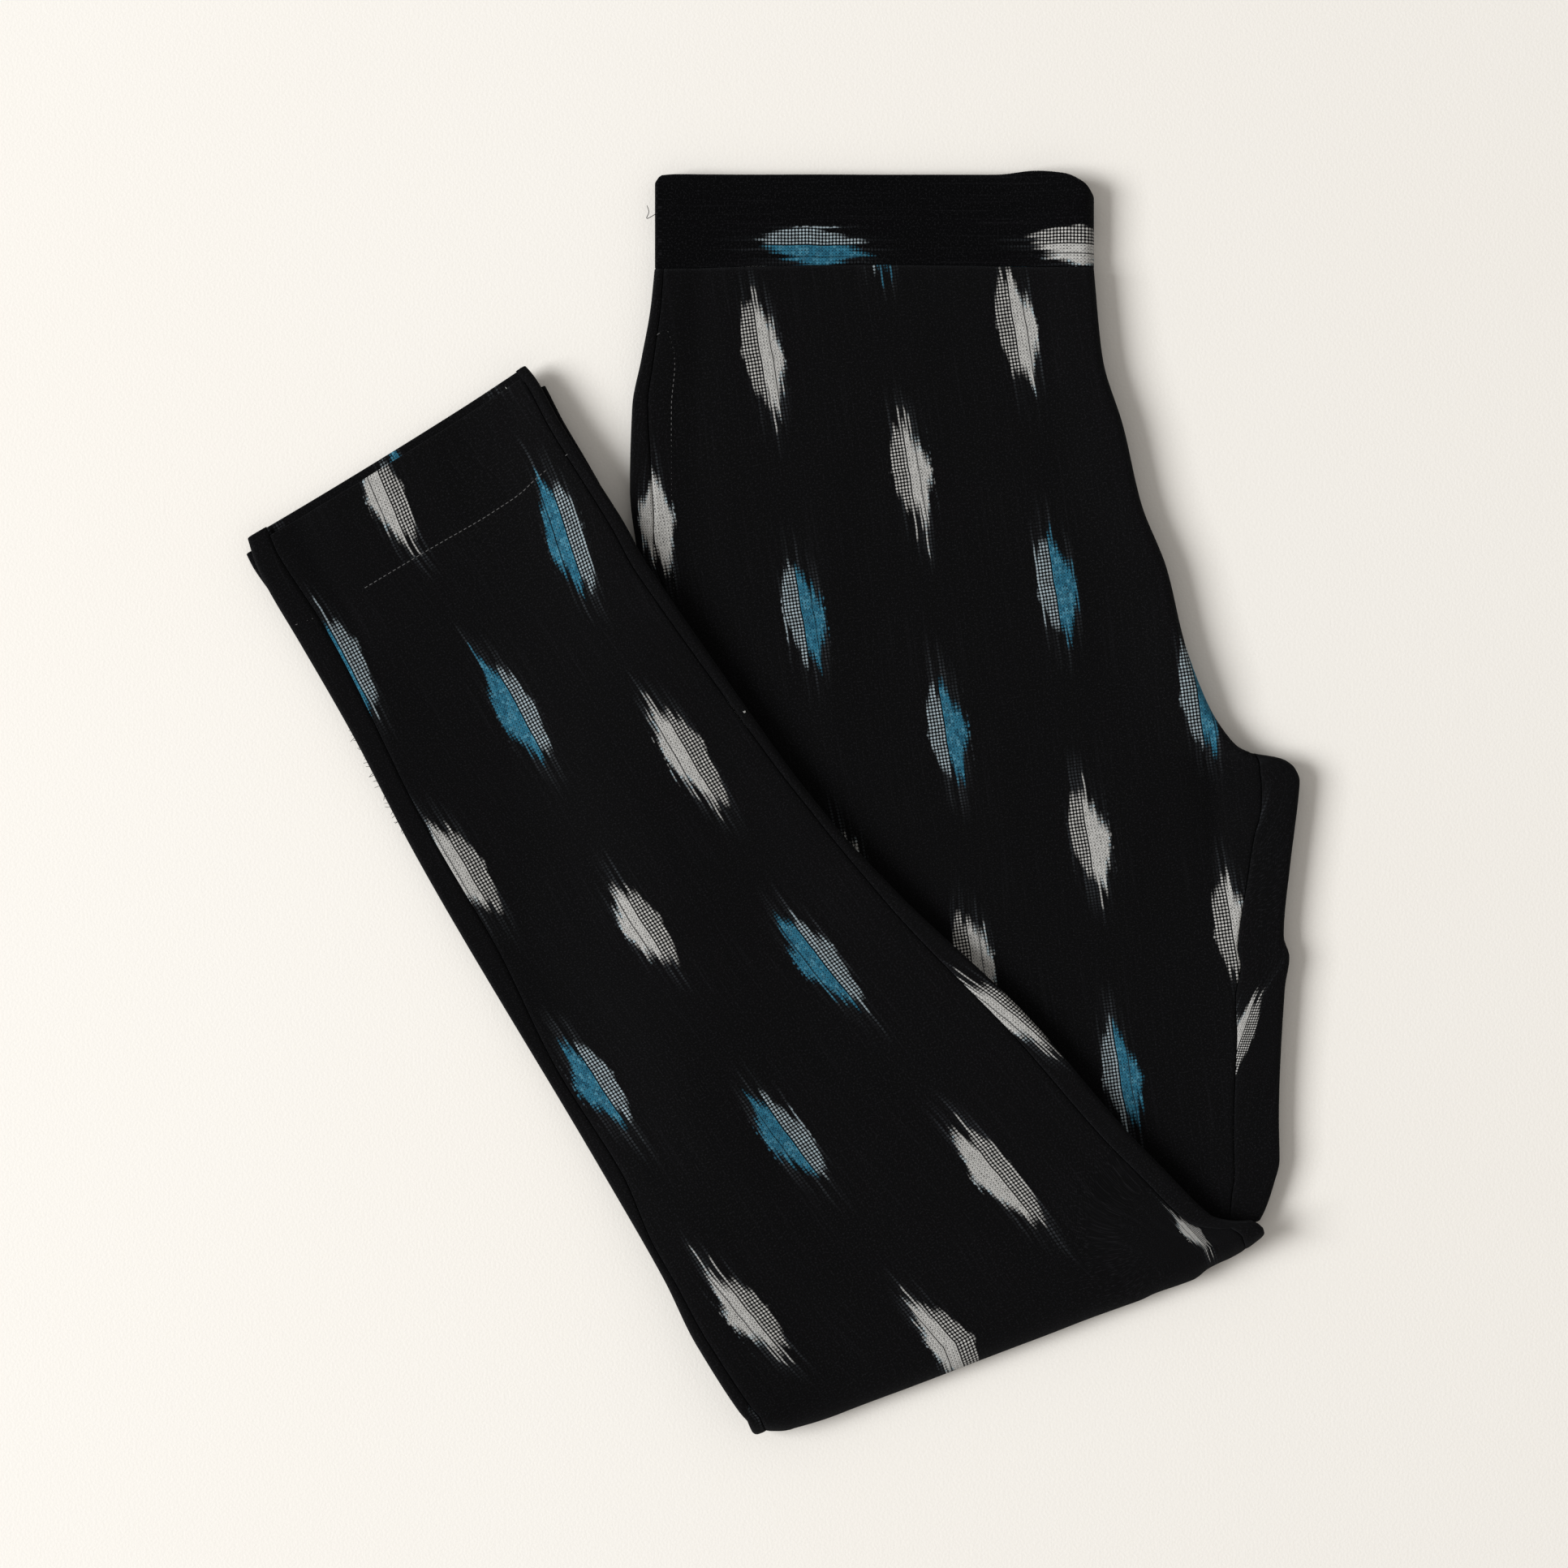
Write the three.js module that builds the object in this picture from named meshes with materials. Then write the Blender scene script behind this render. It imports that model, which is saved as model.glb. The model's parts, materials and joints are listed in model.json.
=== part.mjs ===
// Tapered trousers, laid flat: folded in half at the centre seams, then the lower legs folded up at the knee.
// Millimetres. +X is to the wearer's centre front, +Y to the waist, +Z up from the surface that they lie on.
// The origin is under the middle of the whole, where it rests.
//
// From the surface up: the left thigh, the right thigh, the right lower leg, and the left lower leg on top.
// The thigh on top and the lower leg on top are tubes of cloth, each a front wall and a back wall. The back
// wall goes round both edges of its tube, so that the seams lie a little way in from the edges.
import * as THREE from 'three';

// ---------- driving sizes ----------
const CLOTH = 1.0;            // wall of one layer
const SEAM_GAP = 0.3;         // between two pieces that are sewn together
const LAYER_GAP = 0.8;        // between one layer and the next
const TURN_GAP = 0.3;         // more between the thigh and the lower leg, which lie askew
const BAND_WALL = 1.4;        // the waistband is doubled cloth

// The outlines below are drawn from the knee tip up. This is the middle of the whole in those sizes.
const MIDDLE = new THREE.Vector2(-0.5, 275.7);
const WAIST_Y = 510.5;        // seam of the waistband
const WAIST_ARCH = 2;         // rise of that seam at its middle
const ARCH_SHARE = 1 / 6;     // share of the thigh's length over which the rise dies away
const BAND_TOP_Y = 552;
const KNEE_TIP = new THREE.Vector2(-2.5, 0.5);       // left end of the knee fold
const KNEE_CORNER = new THREE.Vector2(211.5, 82);    // right end of the knee fold
const FOLD_AXIS_LEFT = 11;    // how far in the fold's axis lies, at the fold's left end and at its right
const FOLD_AXIS_RIGHT = 7;
const THIGH_FOOT_GAP = 5.5;   // from that axis to the end of the thigh on top
const UNDER_FOOT_GAP = 4;     // and to where the thigh underneath is flat

const THIGH_SLAB = 3.2;       // heights in the middle of each stretch
const THIGH_TUBE = 3.8;
const LEG_SLAB = 3.0;
const LEG_TUBE = 3.6;
const LEFT_LOFT = 0.8;        // what each thigh layer gains along its left edge
const LOWER_LOFT_SHARE = 0.45;    // share of the right edge's loft that the thigh underneath takes
const LEG_LOFT = 1.1;         // what each lower-leg layer gains along its edges
const LOFT_WIDTH = 23;
const UNCOVER = 14;           // how far beside the lower leg the thigh's folds come up
const DRAPE_START = 6;        // the lower leg leaves the thigh so far past its edge,
const DRAPE = 70;             // and reaches the surface so far beyond that
const FRONT_HEM = 0.991;      // share of the lower leg's length at which its front ends, short of its back
const UNDER_HEM_SHORT = { left: 5, right: 11.5 };     // how much shorter the leg underneath is
const NOT_SHORT = { left: 0, right: 0 };
const HEM_DEPTH = 39;         // turned-up hem
const HEM_EXTRA = 0.4;        // what the turning adds to the wall
const HEM_EASE = 4;           // length over which it does
const HEM_LEFT_V = 451.6;     // the hem's two corners, along the lower leg
const HEM_RIGHT_V = 442.2;
const UNDER_THIGH_INSET = 2;

// ---------- outlines ----------
const THIGH_LEFT = [
  { y: 512, x: -52 }, { y: 493, x: -54 }, { y: 471, x: -58 }, { y: 450, x: -62 }, { y: 415, x: -63 },
  { y: 386, x: -59.5 }, { y: 368, x: -54 }, { y: 273, x: -41 }, { y: 131, x: -21.5 }, { y: 0, x: -4 },
];
const THIGH_RIGHT = [
  { y: 512, x: 140 }, { y: 471, x: 144 }, { y: 441, x: 153 }, { y: 407, x: 161 }, { y: 379, x: 172 },
  { y: 346, x: 180 }, { y: 318, x: 191 }, { y: 305, x: 199.5 }, { y: 301, x: 203.5 }, { y: 299, x: 207.5 },
  { y: 298, x: 211 }, { y: 297.3, x: 215.5 }, { y: 296.5, x: 220 }, { y: 295.2, x: 224 }, { y: 291.5, x: 228.4 },
  { y: 286, x: 230.4 }, { y: 280, x: 230 }, { y: 263, x: 228 }, { y: 251, x: 226.5 }, { y: 218, x: 223.5 },
  { y: 209, x: 226 }, { y: 195, x: 224 }, { y: 138, x: 221.5 }, { y: 120, x: 221.8 }, { y: 110, x: 219.5 },
  { y: 98, x: 215.5 }, { y: 93, x: 213 }, { y: 82, x: 209 },
];
// How far each seam lies in from its edge. Above the crotch the centre seam is just under the edge.
const THIGH_SIDE_SEAM = [
  { y: 512, inset: 4 }, { y: 482, inset: 5 }, { y: 450, inset: 7 }, { y: 407, inset: 10 },
  { y: 377, inset: 6 }, { y: 0, inset: 5 },
];
const THIGH_INSEAM = [
  { y: 512, inset: -2 }, { y: 299, inset: -2 }, { y: 297.6, inset: 3 }, { y: 296.5, inset: 8 },
  { y: 295.2, inset: 11.5 }, { y: 291.5, inset: 15.5 }, { y: 286, inset: 17 }, { y: 276, inset: 16.4 },
  { y: 263, inset: 18.2 }, { y: 251, inset: 18.6 }, { y: 220, inset: 20.5 }, { y: 200, inset: 22.5 },
  { y: 176, inset: 20.5 }, { y: 120, inset: 20.8 }, { y: 93, inset: 16 },
];
// The centre-front roll is loose and high, and the inseam edge is flatter.
const THIGH_RIGHT_LOFT = [
  { y: 512, loft: 6.2 }, { y: 440, loft: 7.5 }, { y: 330, loft: 7 }, { y: 290, loft: 5 },
  { y: 200, loft: 4 }, { y: 82, loft: 2 },
];
// The lower leg has axes of its own: v runs from the knee tip to the hem, u across from left to right.
const LEG_AXIS = new THREE.Vector2(-0.58, 0.815).normalize();
const LEG_LEFT = [
  { v: 452, u: 41.5 }, { v: 438, u: 37.2 }, { v: 423, u: 35.2 }, { v: 404, u: 33.7 }, { v: 357, u: 29.2 },
  { v: 299, u: 21.2 }, { v: 260, u: 17.2 }, { v: 135, u: 7.2 }, { v: 82, u: 2.4 }, { v: 50, u: -2.5 },
  { v: 17, u: -4 }, { v: 0, u: -1.2 },
];
const LEG_RIGHT = [
  { v: 442, u: 184.5 }, { v: 436, u: 185 }, { v: 412, u: 182.5 }, { v: 362, u: 180 }, { v: 339, u: 177.5 },
  { v: 239, u: 176.5 }, { v: 203, u: 178 }, { v: 163, u: 183 }, { v: 79, u: 199 }, { v: 19, u: 204.5 },
  { v: -4, u: 208 }, { v: -33, u: 213 }, { v: -40, u: 218.5 }, { v: -43.5, u: 223 }, { v: -46, u: 227 },
  { v: -51, u: 228 }, { v: -58, u: 229 },
];
const LEG_SIDE_SEAM = [
  { v: 452, inset: 10 }, { v: 404, inset: 13 }, { v: 324, inset: 10 }, { v: 252, inset: 11 },
  { v: 180, inset: 6 }, { v: 133, inset: 7.5 }, { v: 95, inset: 3.5 }, { v: 45, inset: 5.5 }, { v: 0, inset: 6 },
];
const LEG_INSEAM = [
  { v: 436, inset: 5 }, { v: 340, inset: 6 }, { v: 211, inset: 4.5 }, { v: 89, inset: 11 }, { v: -55, inset: 10 },
];
// The leg underneath shows at the corners of the hem, and is hidden everywhere else.
const UNDER_LEG_LEFT = [{ v: 452, inset: -4 }, { v: 425, inset: 0 }, { v: 400, inset: 2.5 }, { v: 0, inset: 2.5 }];
const UNDER_LEG_RIGHT = [
  { v: 442, inset: -2 }, { v: 398, inset: -1 }, { v: 362, inset: 1 }, { v: 300, inset: 2.5 },
  { v: -58, inset: 2.5 },
];
// How far the knee fold swells out from its axis, by the share of its length from the left.
const FOLD_REACH = [
  { share: 0, reach: 8 }, { share: 0.04, reach: 11 }, { share: 0.15, reach: 12.7 }, { share: 0.5, reach: 12 },
  { share: 0.85, reach: 9.2 }, { share: 1, reach: 6.5 },
];

// Largest soft folds, as ridges (height over 0) and troughs, each along a line.
const THIGH_FOLDS = [
  { x1: -33, y1: 512, x2: -32, y2: 370, height: -0.9, width: 9 },
  { x1: 24, y1: 420, x2: 26, y2: 330, height: 0.9, width: 12 },
  { x1: 95, y1: 500, x2: 130, y2: 350, height: 0.8, width: 14 },
  { x1: 192, y1: 318, x2: 195, y2: 250, height: -1.2, width: 9 },
  { x1: 170, y1: 330, x2: 155, y2: 240, height: 0.8, width: 14 },
];
const LEG_FOLDS = [
  { x1: -209, y1: 398, x2: -186, y2: 358, height: -1.0, width: 10 },
  { x1: -150, y1: 420, x2: -70, y2: 270, height: 0.9, width: 13 },
  { x1: -110, y1: 250, x2: 20, y2: 70, height: 0.8, width: 14 },
  { x1: 10, y1: 270, x2: 120, y2: 130, height: 0.9, width: 13 },
  { x1: 60, y1: 150, x2: 150, y2: 75, height: -0.8, width: 10 },
];

// ---------- mesh fineness ----------
// Rows down the thigh, close together at the crotch, where the outline turns sharply.
const THIGH_ROWS = [
  { at: 0 }, { at: 0.44, steps: 7 }, { at: 0.497, steps: 2 }, { at: 0.506, steps: 1 }, { at: 0.5165, steps: 3 },
  { at: 0.54, steps: 3 }, { at: 0.64, steps: 3 }, { at: 1, steps: 7 },
];
const EDGE_STEPS = [9, 19, 31, 46];   // columns beside an edge, where the height changes most
const MIDDLE_STEPS = 3;
const LEG_ROWS = [{ at: 0 }, { at: 0.9, steps: 17 }, { at: FRONT_HEM, steps: 3 }, { at: 1, steps: 1 }];
const UNDER_LAST_ROW = 0.97;  // the leg underneath has no rows between this and its own hem
const FOLD_ROWS = 7;
const EDGE_TURN_STEPS = 5;
const BAND_ROWS = 4;
const STRIP_LEAST = 1.2;      // least width of the back's strip on top
const TURN_LEAST = 2;         // and of its turn round the edge

// ---------- small helpers ----------
const { max, min, sin, cos, PI } = Math;
const clamp01 = (t) => max(0, min(1, t));
const ease = (t) => clamp01(t) ** 2 * (3 - 2 * clamp01(t));
const mix = (a, b, t) => a + (b - a) * t;
const bump = (distance, width) => Math.exp(-((max(0, distance) / width) ** 2));

// A smooth curve through the rows of a table, read at a value of one of its columns.
function tableCurve(rows, from, to) {
  const list = [...rows].sort((a, b) => a[from] - b[from]);
  const slope = list.slice(1).map((row, i) => (row[to] - list[i][to]) / (row[from] - list[i][from]));
  const tangent = list.map((row, i) => {
    const before = slope[max(0, i - 1)];
    const after = slope[min(slope.length - 1, i)];
    return before * after > 0 ? (2 * before * after) / (before + after) : 0;
  });
  return (at) => {
    if (at <= list[0][from]) return list[0][to];
    if (at >= list[list.length - 1][from]) return list[list.length - 1][to];
    const i = list.findIndex((row) => row[from] > at) - 1;
    const span = list[i + 1][from] - list[i][from];
    const t = (at - list[i][from]) / span;
    const rise = t * t * (3 - 2 * t);
    return mix(list[i][to], list[i + 1][to], rise)
      + span * tangent[i] * t * (1 - t) ** 2 - span * tangent[i + 1] * t * t * (1 - t);
  };
}

function foldHeight(folds, x, y) {
  let height = 0;
  for (const fold of folds) {
    const dx = fold.x2 - fold.x1;
    const dy = fold.y2 - fold.y1;
    const length = Math.hypot(dx, dy);
    const along = ((x - fold.x1) * dx + (y - fold.y1) * dy) / length / length;
    const aside = ((x - fold.x1) * dy - (y - fold.y1) * dx) / length;
    const past = max(0, -along, along - 1) * length;
    height += fold.height * Math.exp(-((aside / fold.width) ** 2) - (past / fold.width / 2) ** 2);
  }
  return height;
}

// ---------- heights of the layers ----------
const thighLeftX = tableCurve(THIGH_LEFT, 'y', 'x');
const thighRightX = tableCurve(THIGH_RIGHT, 'y', 'x');
const thighRightLoft = tableCurve(THIGH_RIGHT_LOFT, 'y', 'loft');
const legLeftU = tableCurve(LEG_LEFT, 'v', 'u');
const legRightU = tableCurve(LEG_RIGHT, 'v', 'u');
const LEG_ACROSS = new THREE.Vector2(LEG_AXIS.y, -LEG_AXIS.x);
const FOLD_DIRECTION = KNEE_CORNER.clone().sub(KNEE_TIP).normalize();
const FOLD_INWARD = new THREE.Vector2(-FOLD_DIRECTION.y, FOLD_DIRECTION.x);
const FOLD_LENGTH = KNEE_TIP.distanceTo(KNEE_CORNER) + 4;     // its right end is rounded out past the corner
const foldReach = tableCurve(FOLD_REACH, 'share', 'reach');

const legPoint = (u, v) => KNEE_TIP.clone().addScaledVector(LEG_ACROSS, u).addScaledVector(LEG_AXIS, v);
function legPlace(x, y) {
  const from = new THREE.Vector2(x, y).sub(KNEE_TIP);
  return { u: from.dot(LEG_ACROSS), v: from.dot(LEG_AXIS) };
}

// Each layer is a base height and a thickness at a point of the plan.
function thighSlab(x, y) {
  const left = x - thighLeftX(y);
  const right = thighRightX(y) - x;
  const thick = THIGH_SLAB + LEFT_LOFT * bump(left, LOFT_WIDTH)
    + LOWER_LOFT_SHARE * thighRightLoft(y) * bump(right, LOFT_WIDTH);
  return { base: 0, thick };
}
function thighTube(x, y) {
  const left = x - thighLeftX(y);
  const right = thighRightX(y) - x;
  const { u, v } = legPlace(x, y);
  const uncovered = ease((u - legRightU(v)) / UNCOVER);
  const thick = THIGH_TUBE + LEFT_LOFT * bump(left, LOFT_WIDTH)
    + (1 - LOWER_LOFT_SHARE) * thighRightLoft(y) * bump(right, LOFT_WIDTH)
    + uncovered * foldHeight(THIGH_FOLDS, x, y);
  return { base: thighSlab(x, y).thick + LAYER_GAP, thick };
}
// What the lower legs lie on: the thigh, or the surface to the left of it.
function groundHeight(x, y) {
  const tube = thighTube(x, y);
  const outside = max(0, thighLeftX(y) - x - DRAPE_START);
  return (tube.base + tube.thick + LAYER_GAP + TURN_GAP) * (1 - ease(outside / DRAPE));
}
function legEdgeLoft(x, y) {
  const { u, v } = legPlace(x, y);
  return LEG_LOFT * (bump(u - legLeftU(v), LOFT_WIDTH) + bump(legRightU(v) - u, LOFT_WIDTH));
}
function legSlab(x, y) {
  return { base: groundHeight(x, y), thick: LEG_SLAB + legEdgeLoft(x, y) };
}
function legTube(x, y) {
  const under = legSlab(x, y);
  const thick = LEG_TUBE + legEdgeLoft(x, y) + foldHeight(LEG_FOLDS, x, y);
  return { base: under.base + under.thick + LAYER_GAP, thick };
}

// ---------- rungs: the straight lines across a stretch, from its left edge to its right ----------
const AXIS_LEFT_V = FOLD_AXIS_LEFT * FOLD_INWARD.dot(LEG_AXIS);
const AXIS_RIGHT_V = legPlace(KNEE_CORNER.x, KNEE_CORNER.y).v + FOLD_AXIS_RIGHT * FOLD_INWARD.dot(LEG_AXIS);

// A rung whose ends lie in from the edges, along itself.
function rungBetween(left, right, insetLeft, insetRight, arch) {
  const across = right.clone().sub(left).normalize();
  return {
    left: left.clone().addScaledVector(across, insetLeft),
    right: right.clone().addScaledVector(across, -insetRight),
    arch,
  };
}
function thighRung(t, inset, footGap) {
  const leftFoot = KNEE_TIP.y + (FOLD_AXIS_LEFT + footGap) * FOLD_INWARD.y;
  const rightFoot = KNEE_CORNER.y + (FOLD_AXIS_RIGHT + footGap) * FOLD_INWARD.y;
  const top = WAIST_Y - SEAM_GAP;
  const yLeft = mix(top, leftFoot, t);
  const yRight = mix(top, rightFoot, t);
  const left = new THREE.Vector2(thighLeftX(yLeft), yLeft);
  const right = new THREE.Vector2(thighRightX(yRight), yRight);
  return rungBetween(left, right, inset, inset, WAIST_ARCH * (1 - ease(t / ARCH_SHARE)));
}
function legRung(t, insetLeft, insetRight, short = NOT_SHORT) {
  const cut = t === 1 ? short : NOT_SHORT;
  const vLeft = mix(AXIS_LEFT_V, HEM_LEFT_V, t) - cut.left;
  const vRight = mix(AXIS_RIGHT_V, HEM_RIGHT_V, t) - cut.right;
  const left = legPoint(legLeftU(vLeft), vLeft);
  const right = legPoint(legRightU(vRight), vRight);
  return rungBetween(left, right, insetLeft(vLeft), insetRight(vRight), 0);
}
// A point of the ring round a rung. The arc c starts at the left edge, goes over the top to the right edge,
// and comes back underneath; inward moves the point into the tube.
function ringShape(rung, layer) {
  const width = rung.left.distanceTo(rung.right);
  const leftRound = layer(rung.left.x, rung.left.y).thick / 2;
  const rightRound = layer(rung.right.x, rung.right.y).thick / 2;
  const leftArc = (leftRound * PI) / 2;
  const rightArc = (rightRound * PI) / 2;
  const across = width - leftRound - rightRound + leftArc + rightArc;
  return { rung, layer, width, leftRound, rightRound, leftArc, rightArc, across };
}
function ringPoint(ring, c, inward) {
  const loop = ring.across * 2;
  const turn = ((c % loop) + loop) % loop;
  const below = turn > ring.across;
  const arc = below ? loop - turn : turn;
  const fromRight = ring.across - arc;
  let aside = ring.leftRound + arc - ring.leftArc;
  let rise = 1;
  if (arc < ring.leftArc) {
    const angle = arc / ring.leftRound;
    aside = ring.leftRound - (ring.leftRound - inward) * cos(angle);
    rise = sin(angle);
  } else if (fromRight < ring.rightArc) {
    const angle = fromRight / ring.rightRound;
    aside = ring.width - ring.rightRound + (ring.rightRound - inward) * cos(angle);
    rise = sin(angle);
  }
  const spot = ring.rung.left.clone().lerp(ring.rung.right, aside / ring.width);
  const { base, thick } = ring.layer(spot.x, spot.y);
  const half = thick / 2 - inward;
  spot.y += ring.rung.arch * sin(PI * clamp01(aside / ring.width));
  return new THREE.Vector3(spot.x, spot.y, base + thick / 2 + (below ? -1 : 1) * half * rise);
}
// Carries a point over the axis of the knee fold and round it, by an angle from 0 (on top) to PI (below).
function roundFold(point, angle) {
  const along = (point.x - KNEE_TIP.x) * FOLD_DIRECTION.x + (point.y - KNEE_TIP.y) * FOLD_DIRECTION.y;
  const tube = legTube(point.x, point.y);
  const axisZ = (tube.base + tube.thick) / 2;
  const radius = point.z - axisZ;
  const outward = (foldReach(along / FOLD_LENGTH) / axisZ) * radius * sin(angle);
  return new THREE.Vector3(
    point.x - FOLD_INWARD.x * outward,
    point.y - FOLD_INWARD.y * outward,
    axisZ + radius * cos(angle),
  );
}

// ---------- solids from rows of points ----------
function solid(positions, faces) {
  let volume = 0;
  for (const [a, b, c] of faces) {
    volume += positions[a].dot(positions[b].clone().cross(positions[c]));
  }
  const order = volume < 0 ? ([a, b, c]) => [a, c, b] : (face) => face;
  const geometry = new THREE.BufferGeometry();
  geometry.setAttribute('position', new THREE.Float32BufferAttribute(positions.flatMap((p) => p.toArray()), 3));
  geometry.setIndex(faces.flatMap(order));
  geometry.computeVertexNormals();
  return geometry;
}
const quad = (a, b, c, d) => [[a, b, c], [a, c, d]];

// A wall: each row holds outer and inner points in pairs. A closed wall's rows are loops. A flipped wall has
// its four-sided faces split along the other diagonal, to match the wall that it lies on.
function wall(rows, closed, flipped = false) {
  const count = rows[0].length;
  const positions = rows.flatMap((row) => row.flatMap(({ outer, inner }) => [outer, inner]));
  const at = (row, column, side) => (row * count + (column % count)) * 2 + side;
  const last = rows.length - 1;
  const columns = closed ? count : count - 1;
  const faces = [];
  for (let r = 0; r < last; r++) {
    for (let c = 0; c < columns; c++) {
      for (const side of [0, 1]) {
        const corners = [at(r, c, side), at(r, c + 1, side), at(r + 1, c + 1, side), at(r + 1, c, side)];
        if (flipped) corners.push(corners.shift());
        if (side) corners.reverse();
        faces.push(...quad(...corners));
      }
    }
    if (!closed) {
      faces.push(...quad(at(r, 0, 0), at(r + 1, 0, 0), at(r + 1, 0, 1), at(r, 0, 1)));
      faces.push(...quad(at(r, columns, 0), at(r, columns, 1), at(r + 1, columns, 1), at(r + 1, columns, 0)));
    }
  }
  for (let c = 0; c < columns; c++) {
    faces.push(...quad(at(0, c, 0), at(0, c, 1), at(0, c + 1, 1), at(0, c + 1, 0)));
    faces.push(...quad(at(last, c, 0), at(last, c + 1, 0), at(last, c + 1, 1), at(last, c, 1)));
  }
  return solid(positions, faces);
}
// A filled, rounded slab: each row holds its upper and lower points in pairs, and both ends of a row are points.
function slab(rows) {
  const count = rows[0].length;
  const stride = 2 * count - 2;
  const positions = rows.flatMap((row) => [
    ...row.map(({ upper }) => upper),
    ...row.slice(1, -1).reverse().map(({ lower }) => lower),
  ]);
  const upper = (r, c) => r * stride + c;
  const lower = (r, c) => r * stride + ((stride - c) % stride);
  const faces = [];
  for (let r = 0; r + 1 < rows.length; r++) {
    for (let i = 0; i < stride; i++) {
      const next = (i + 1) % stride;
      const corners = [r * stride + i, r * stride + next, (r + 1) * stride + next, (r + 1) * stride + i];
      // The upper side is split the other way, as the underside of the tube above it is.
      if (i < count - 1) corners.push(corners.shift());
      faces.push(...quad(...corners));
    }
  }
  for (const r of [0, rows.length - 1]) {
    for (let c = 0; c + 1 < count; c++) {
      const corners = [upper(r, c), lower(r, c), lower(r, c + 1), upper(r, c + 1)];
      const distinct = corners.filter((corner, i) => corner !== corners[(i + 1) % 4]);
      if (r) distinct.reverse();
      for (let k = 1; k + 1 < distinct.length; k++) faces.push([distinct[0], distinct[k], distinct[k + 1]]);
    }
  }
  return solid(positions, faces);
}

// Stops along an arc, each stretch between two stops cut into its own number of steps.
function stops(stretches) {
  const list = [stretches[0].at];
  for (let i = 1; i < stretches.length; i++) {
    const { at, steps } = stretches[i];
    for (let k = 1; k <= steps; k++) list.push(mix(stretches[i - 1].at, at, k / steps));
  }
  return list;
}
// The arc from an edge to a seam that lies so far in from it.
const seamArc = (inset, round) => inset + (PI / 2 - 1) * max(-round, min(inset, round));

// A stretch between two edges, with close columns beside each of them. A stretch whose edges lie further in
// than its neighbour's leaves out that inset, so that the columns of both come one above the other.
function betweenEdges(from, to, fromInset = 0, toInset = 0) {
  const nearFrom = EDGE_STEPS.map((step) => ({ at: from + step - fromInset, steps: 1 }));
  const nearTo = EDGE_STEPS.map((step) => ({ at: to - step + toInset, steps: 1 })).reverse();
  nearTo[0].steps = MIDDLE_STEPS;
  return [...nearFrom, ...nearTo, { at: to, steps: 1 }];
}
// Columns of the front, with close ones at its right, where it may turn over the edge.
function frontColumns(ring, sideInset, innerInset, gap = SEAM_GAP) {
  const from = seamArc(sideInset, ring.leftRound) + SEAM_GAP / 2;
  const to = ring.across - seamArc(innerInset, ring.rightRound) - gap / 2;
  const turnStart = to - EDGE_STEPS[0];
  return stops([{ at: from }, ...betweenEdges(from, turnStart), { at: to, steps: 4 }]);
}
// Columns of the back: a strip on top, the right edge, the underside, the left edge and a strip on top.
function backColumns(ring, sideInset, innerInset, gap = SEAM_GAP) {
  const from = ring.across - seamArc(innerInset, ring.rightRound) + gap / 2;
  const edge = max(from + STRIP_LEAST, ring.across - ring.rightArc);
  const under = max(edge + TURN_LEAST, ring.across + ring.rightArc);
  const leftEdge = ring.across * 2 - ring.leftArc;
  const end = ring.across * 2 + seamArc(sideInset, ring.leftRound) - SEAM_GAP / 2;
  return stops([
    { at: from }, { at: edge, steps: 1 }, { at: under, steps: EDGE_TURN_STEPS }, ...betweenEdges(under, leftEdge),
    { at: leftEdge + 2 * ring.leftArc, steps: EDGE_TURN_STEPS }, { at: end, steps: 1 },
  ]);
}
function tubeRow(ring, columns, thickness, turn) {
  return columns.map((c) => {
    const outer = ringPoint(ring, c, 0);
    const inner = ringPoint(ring, c, thickness);
    return turn === undefined ? { outer, inner } : { outer: roundFold(outer, turn), inner: roundFold(inner, turn) };
  });
}

// ---------- the pieces ----------
const thighSideInset = tableCurve(THIGH_SIDE_SEAM, 'y', 'inset');
const thighInseamInset = tableCurve(THIGH_INSEAM, 'y', 'inset');
const legSideInset = tableCurve(LEG_SIDE_SEAM, 'v', 'inset');
const legInseamInset = tableCurve(LEG_INSEAM, 'v', 'inset');
const underLegLeft = tableCurve(UNDER_LEG_LEFT, 'v', 'inset');
const underLegRight = tableCurve(UNDER_LEG_RIGHT, 'v', 'inset');
const thighRows = stops(THIGH_ROWS);
const legRows = stops(LEG_ROWS).reverse().slice(0, -1);     // from the hem to just before the fold

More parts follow.
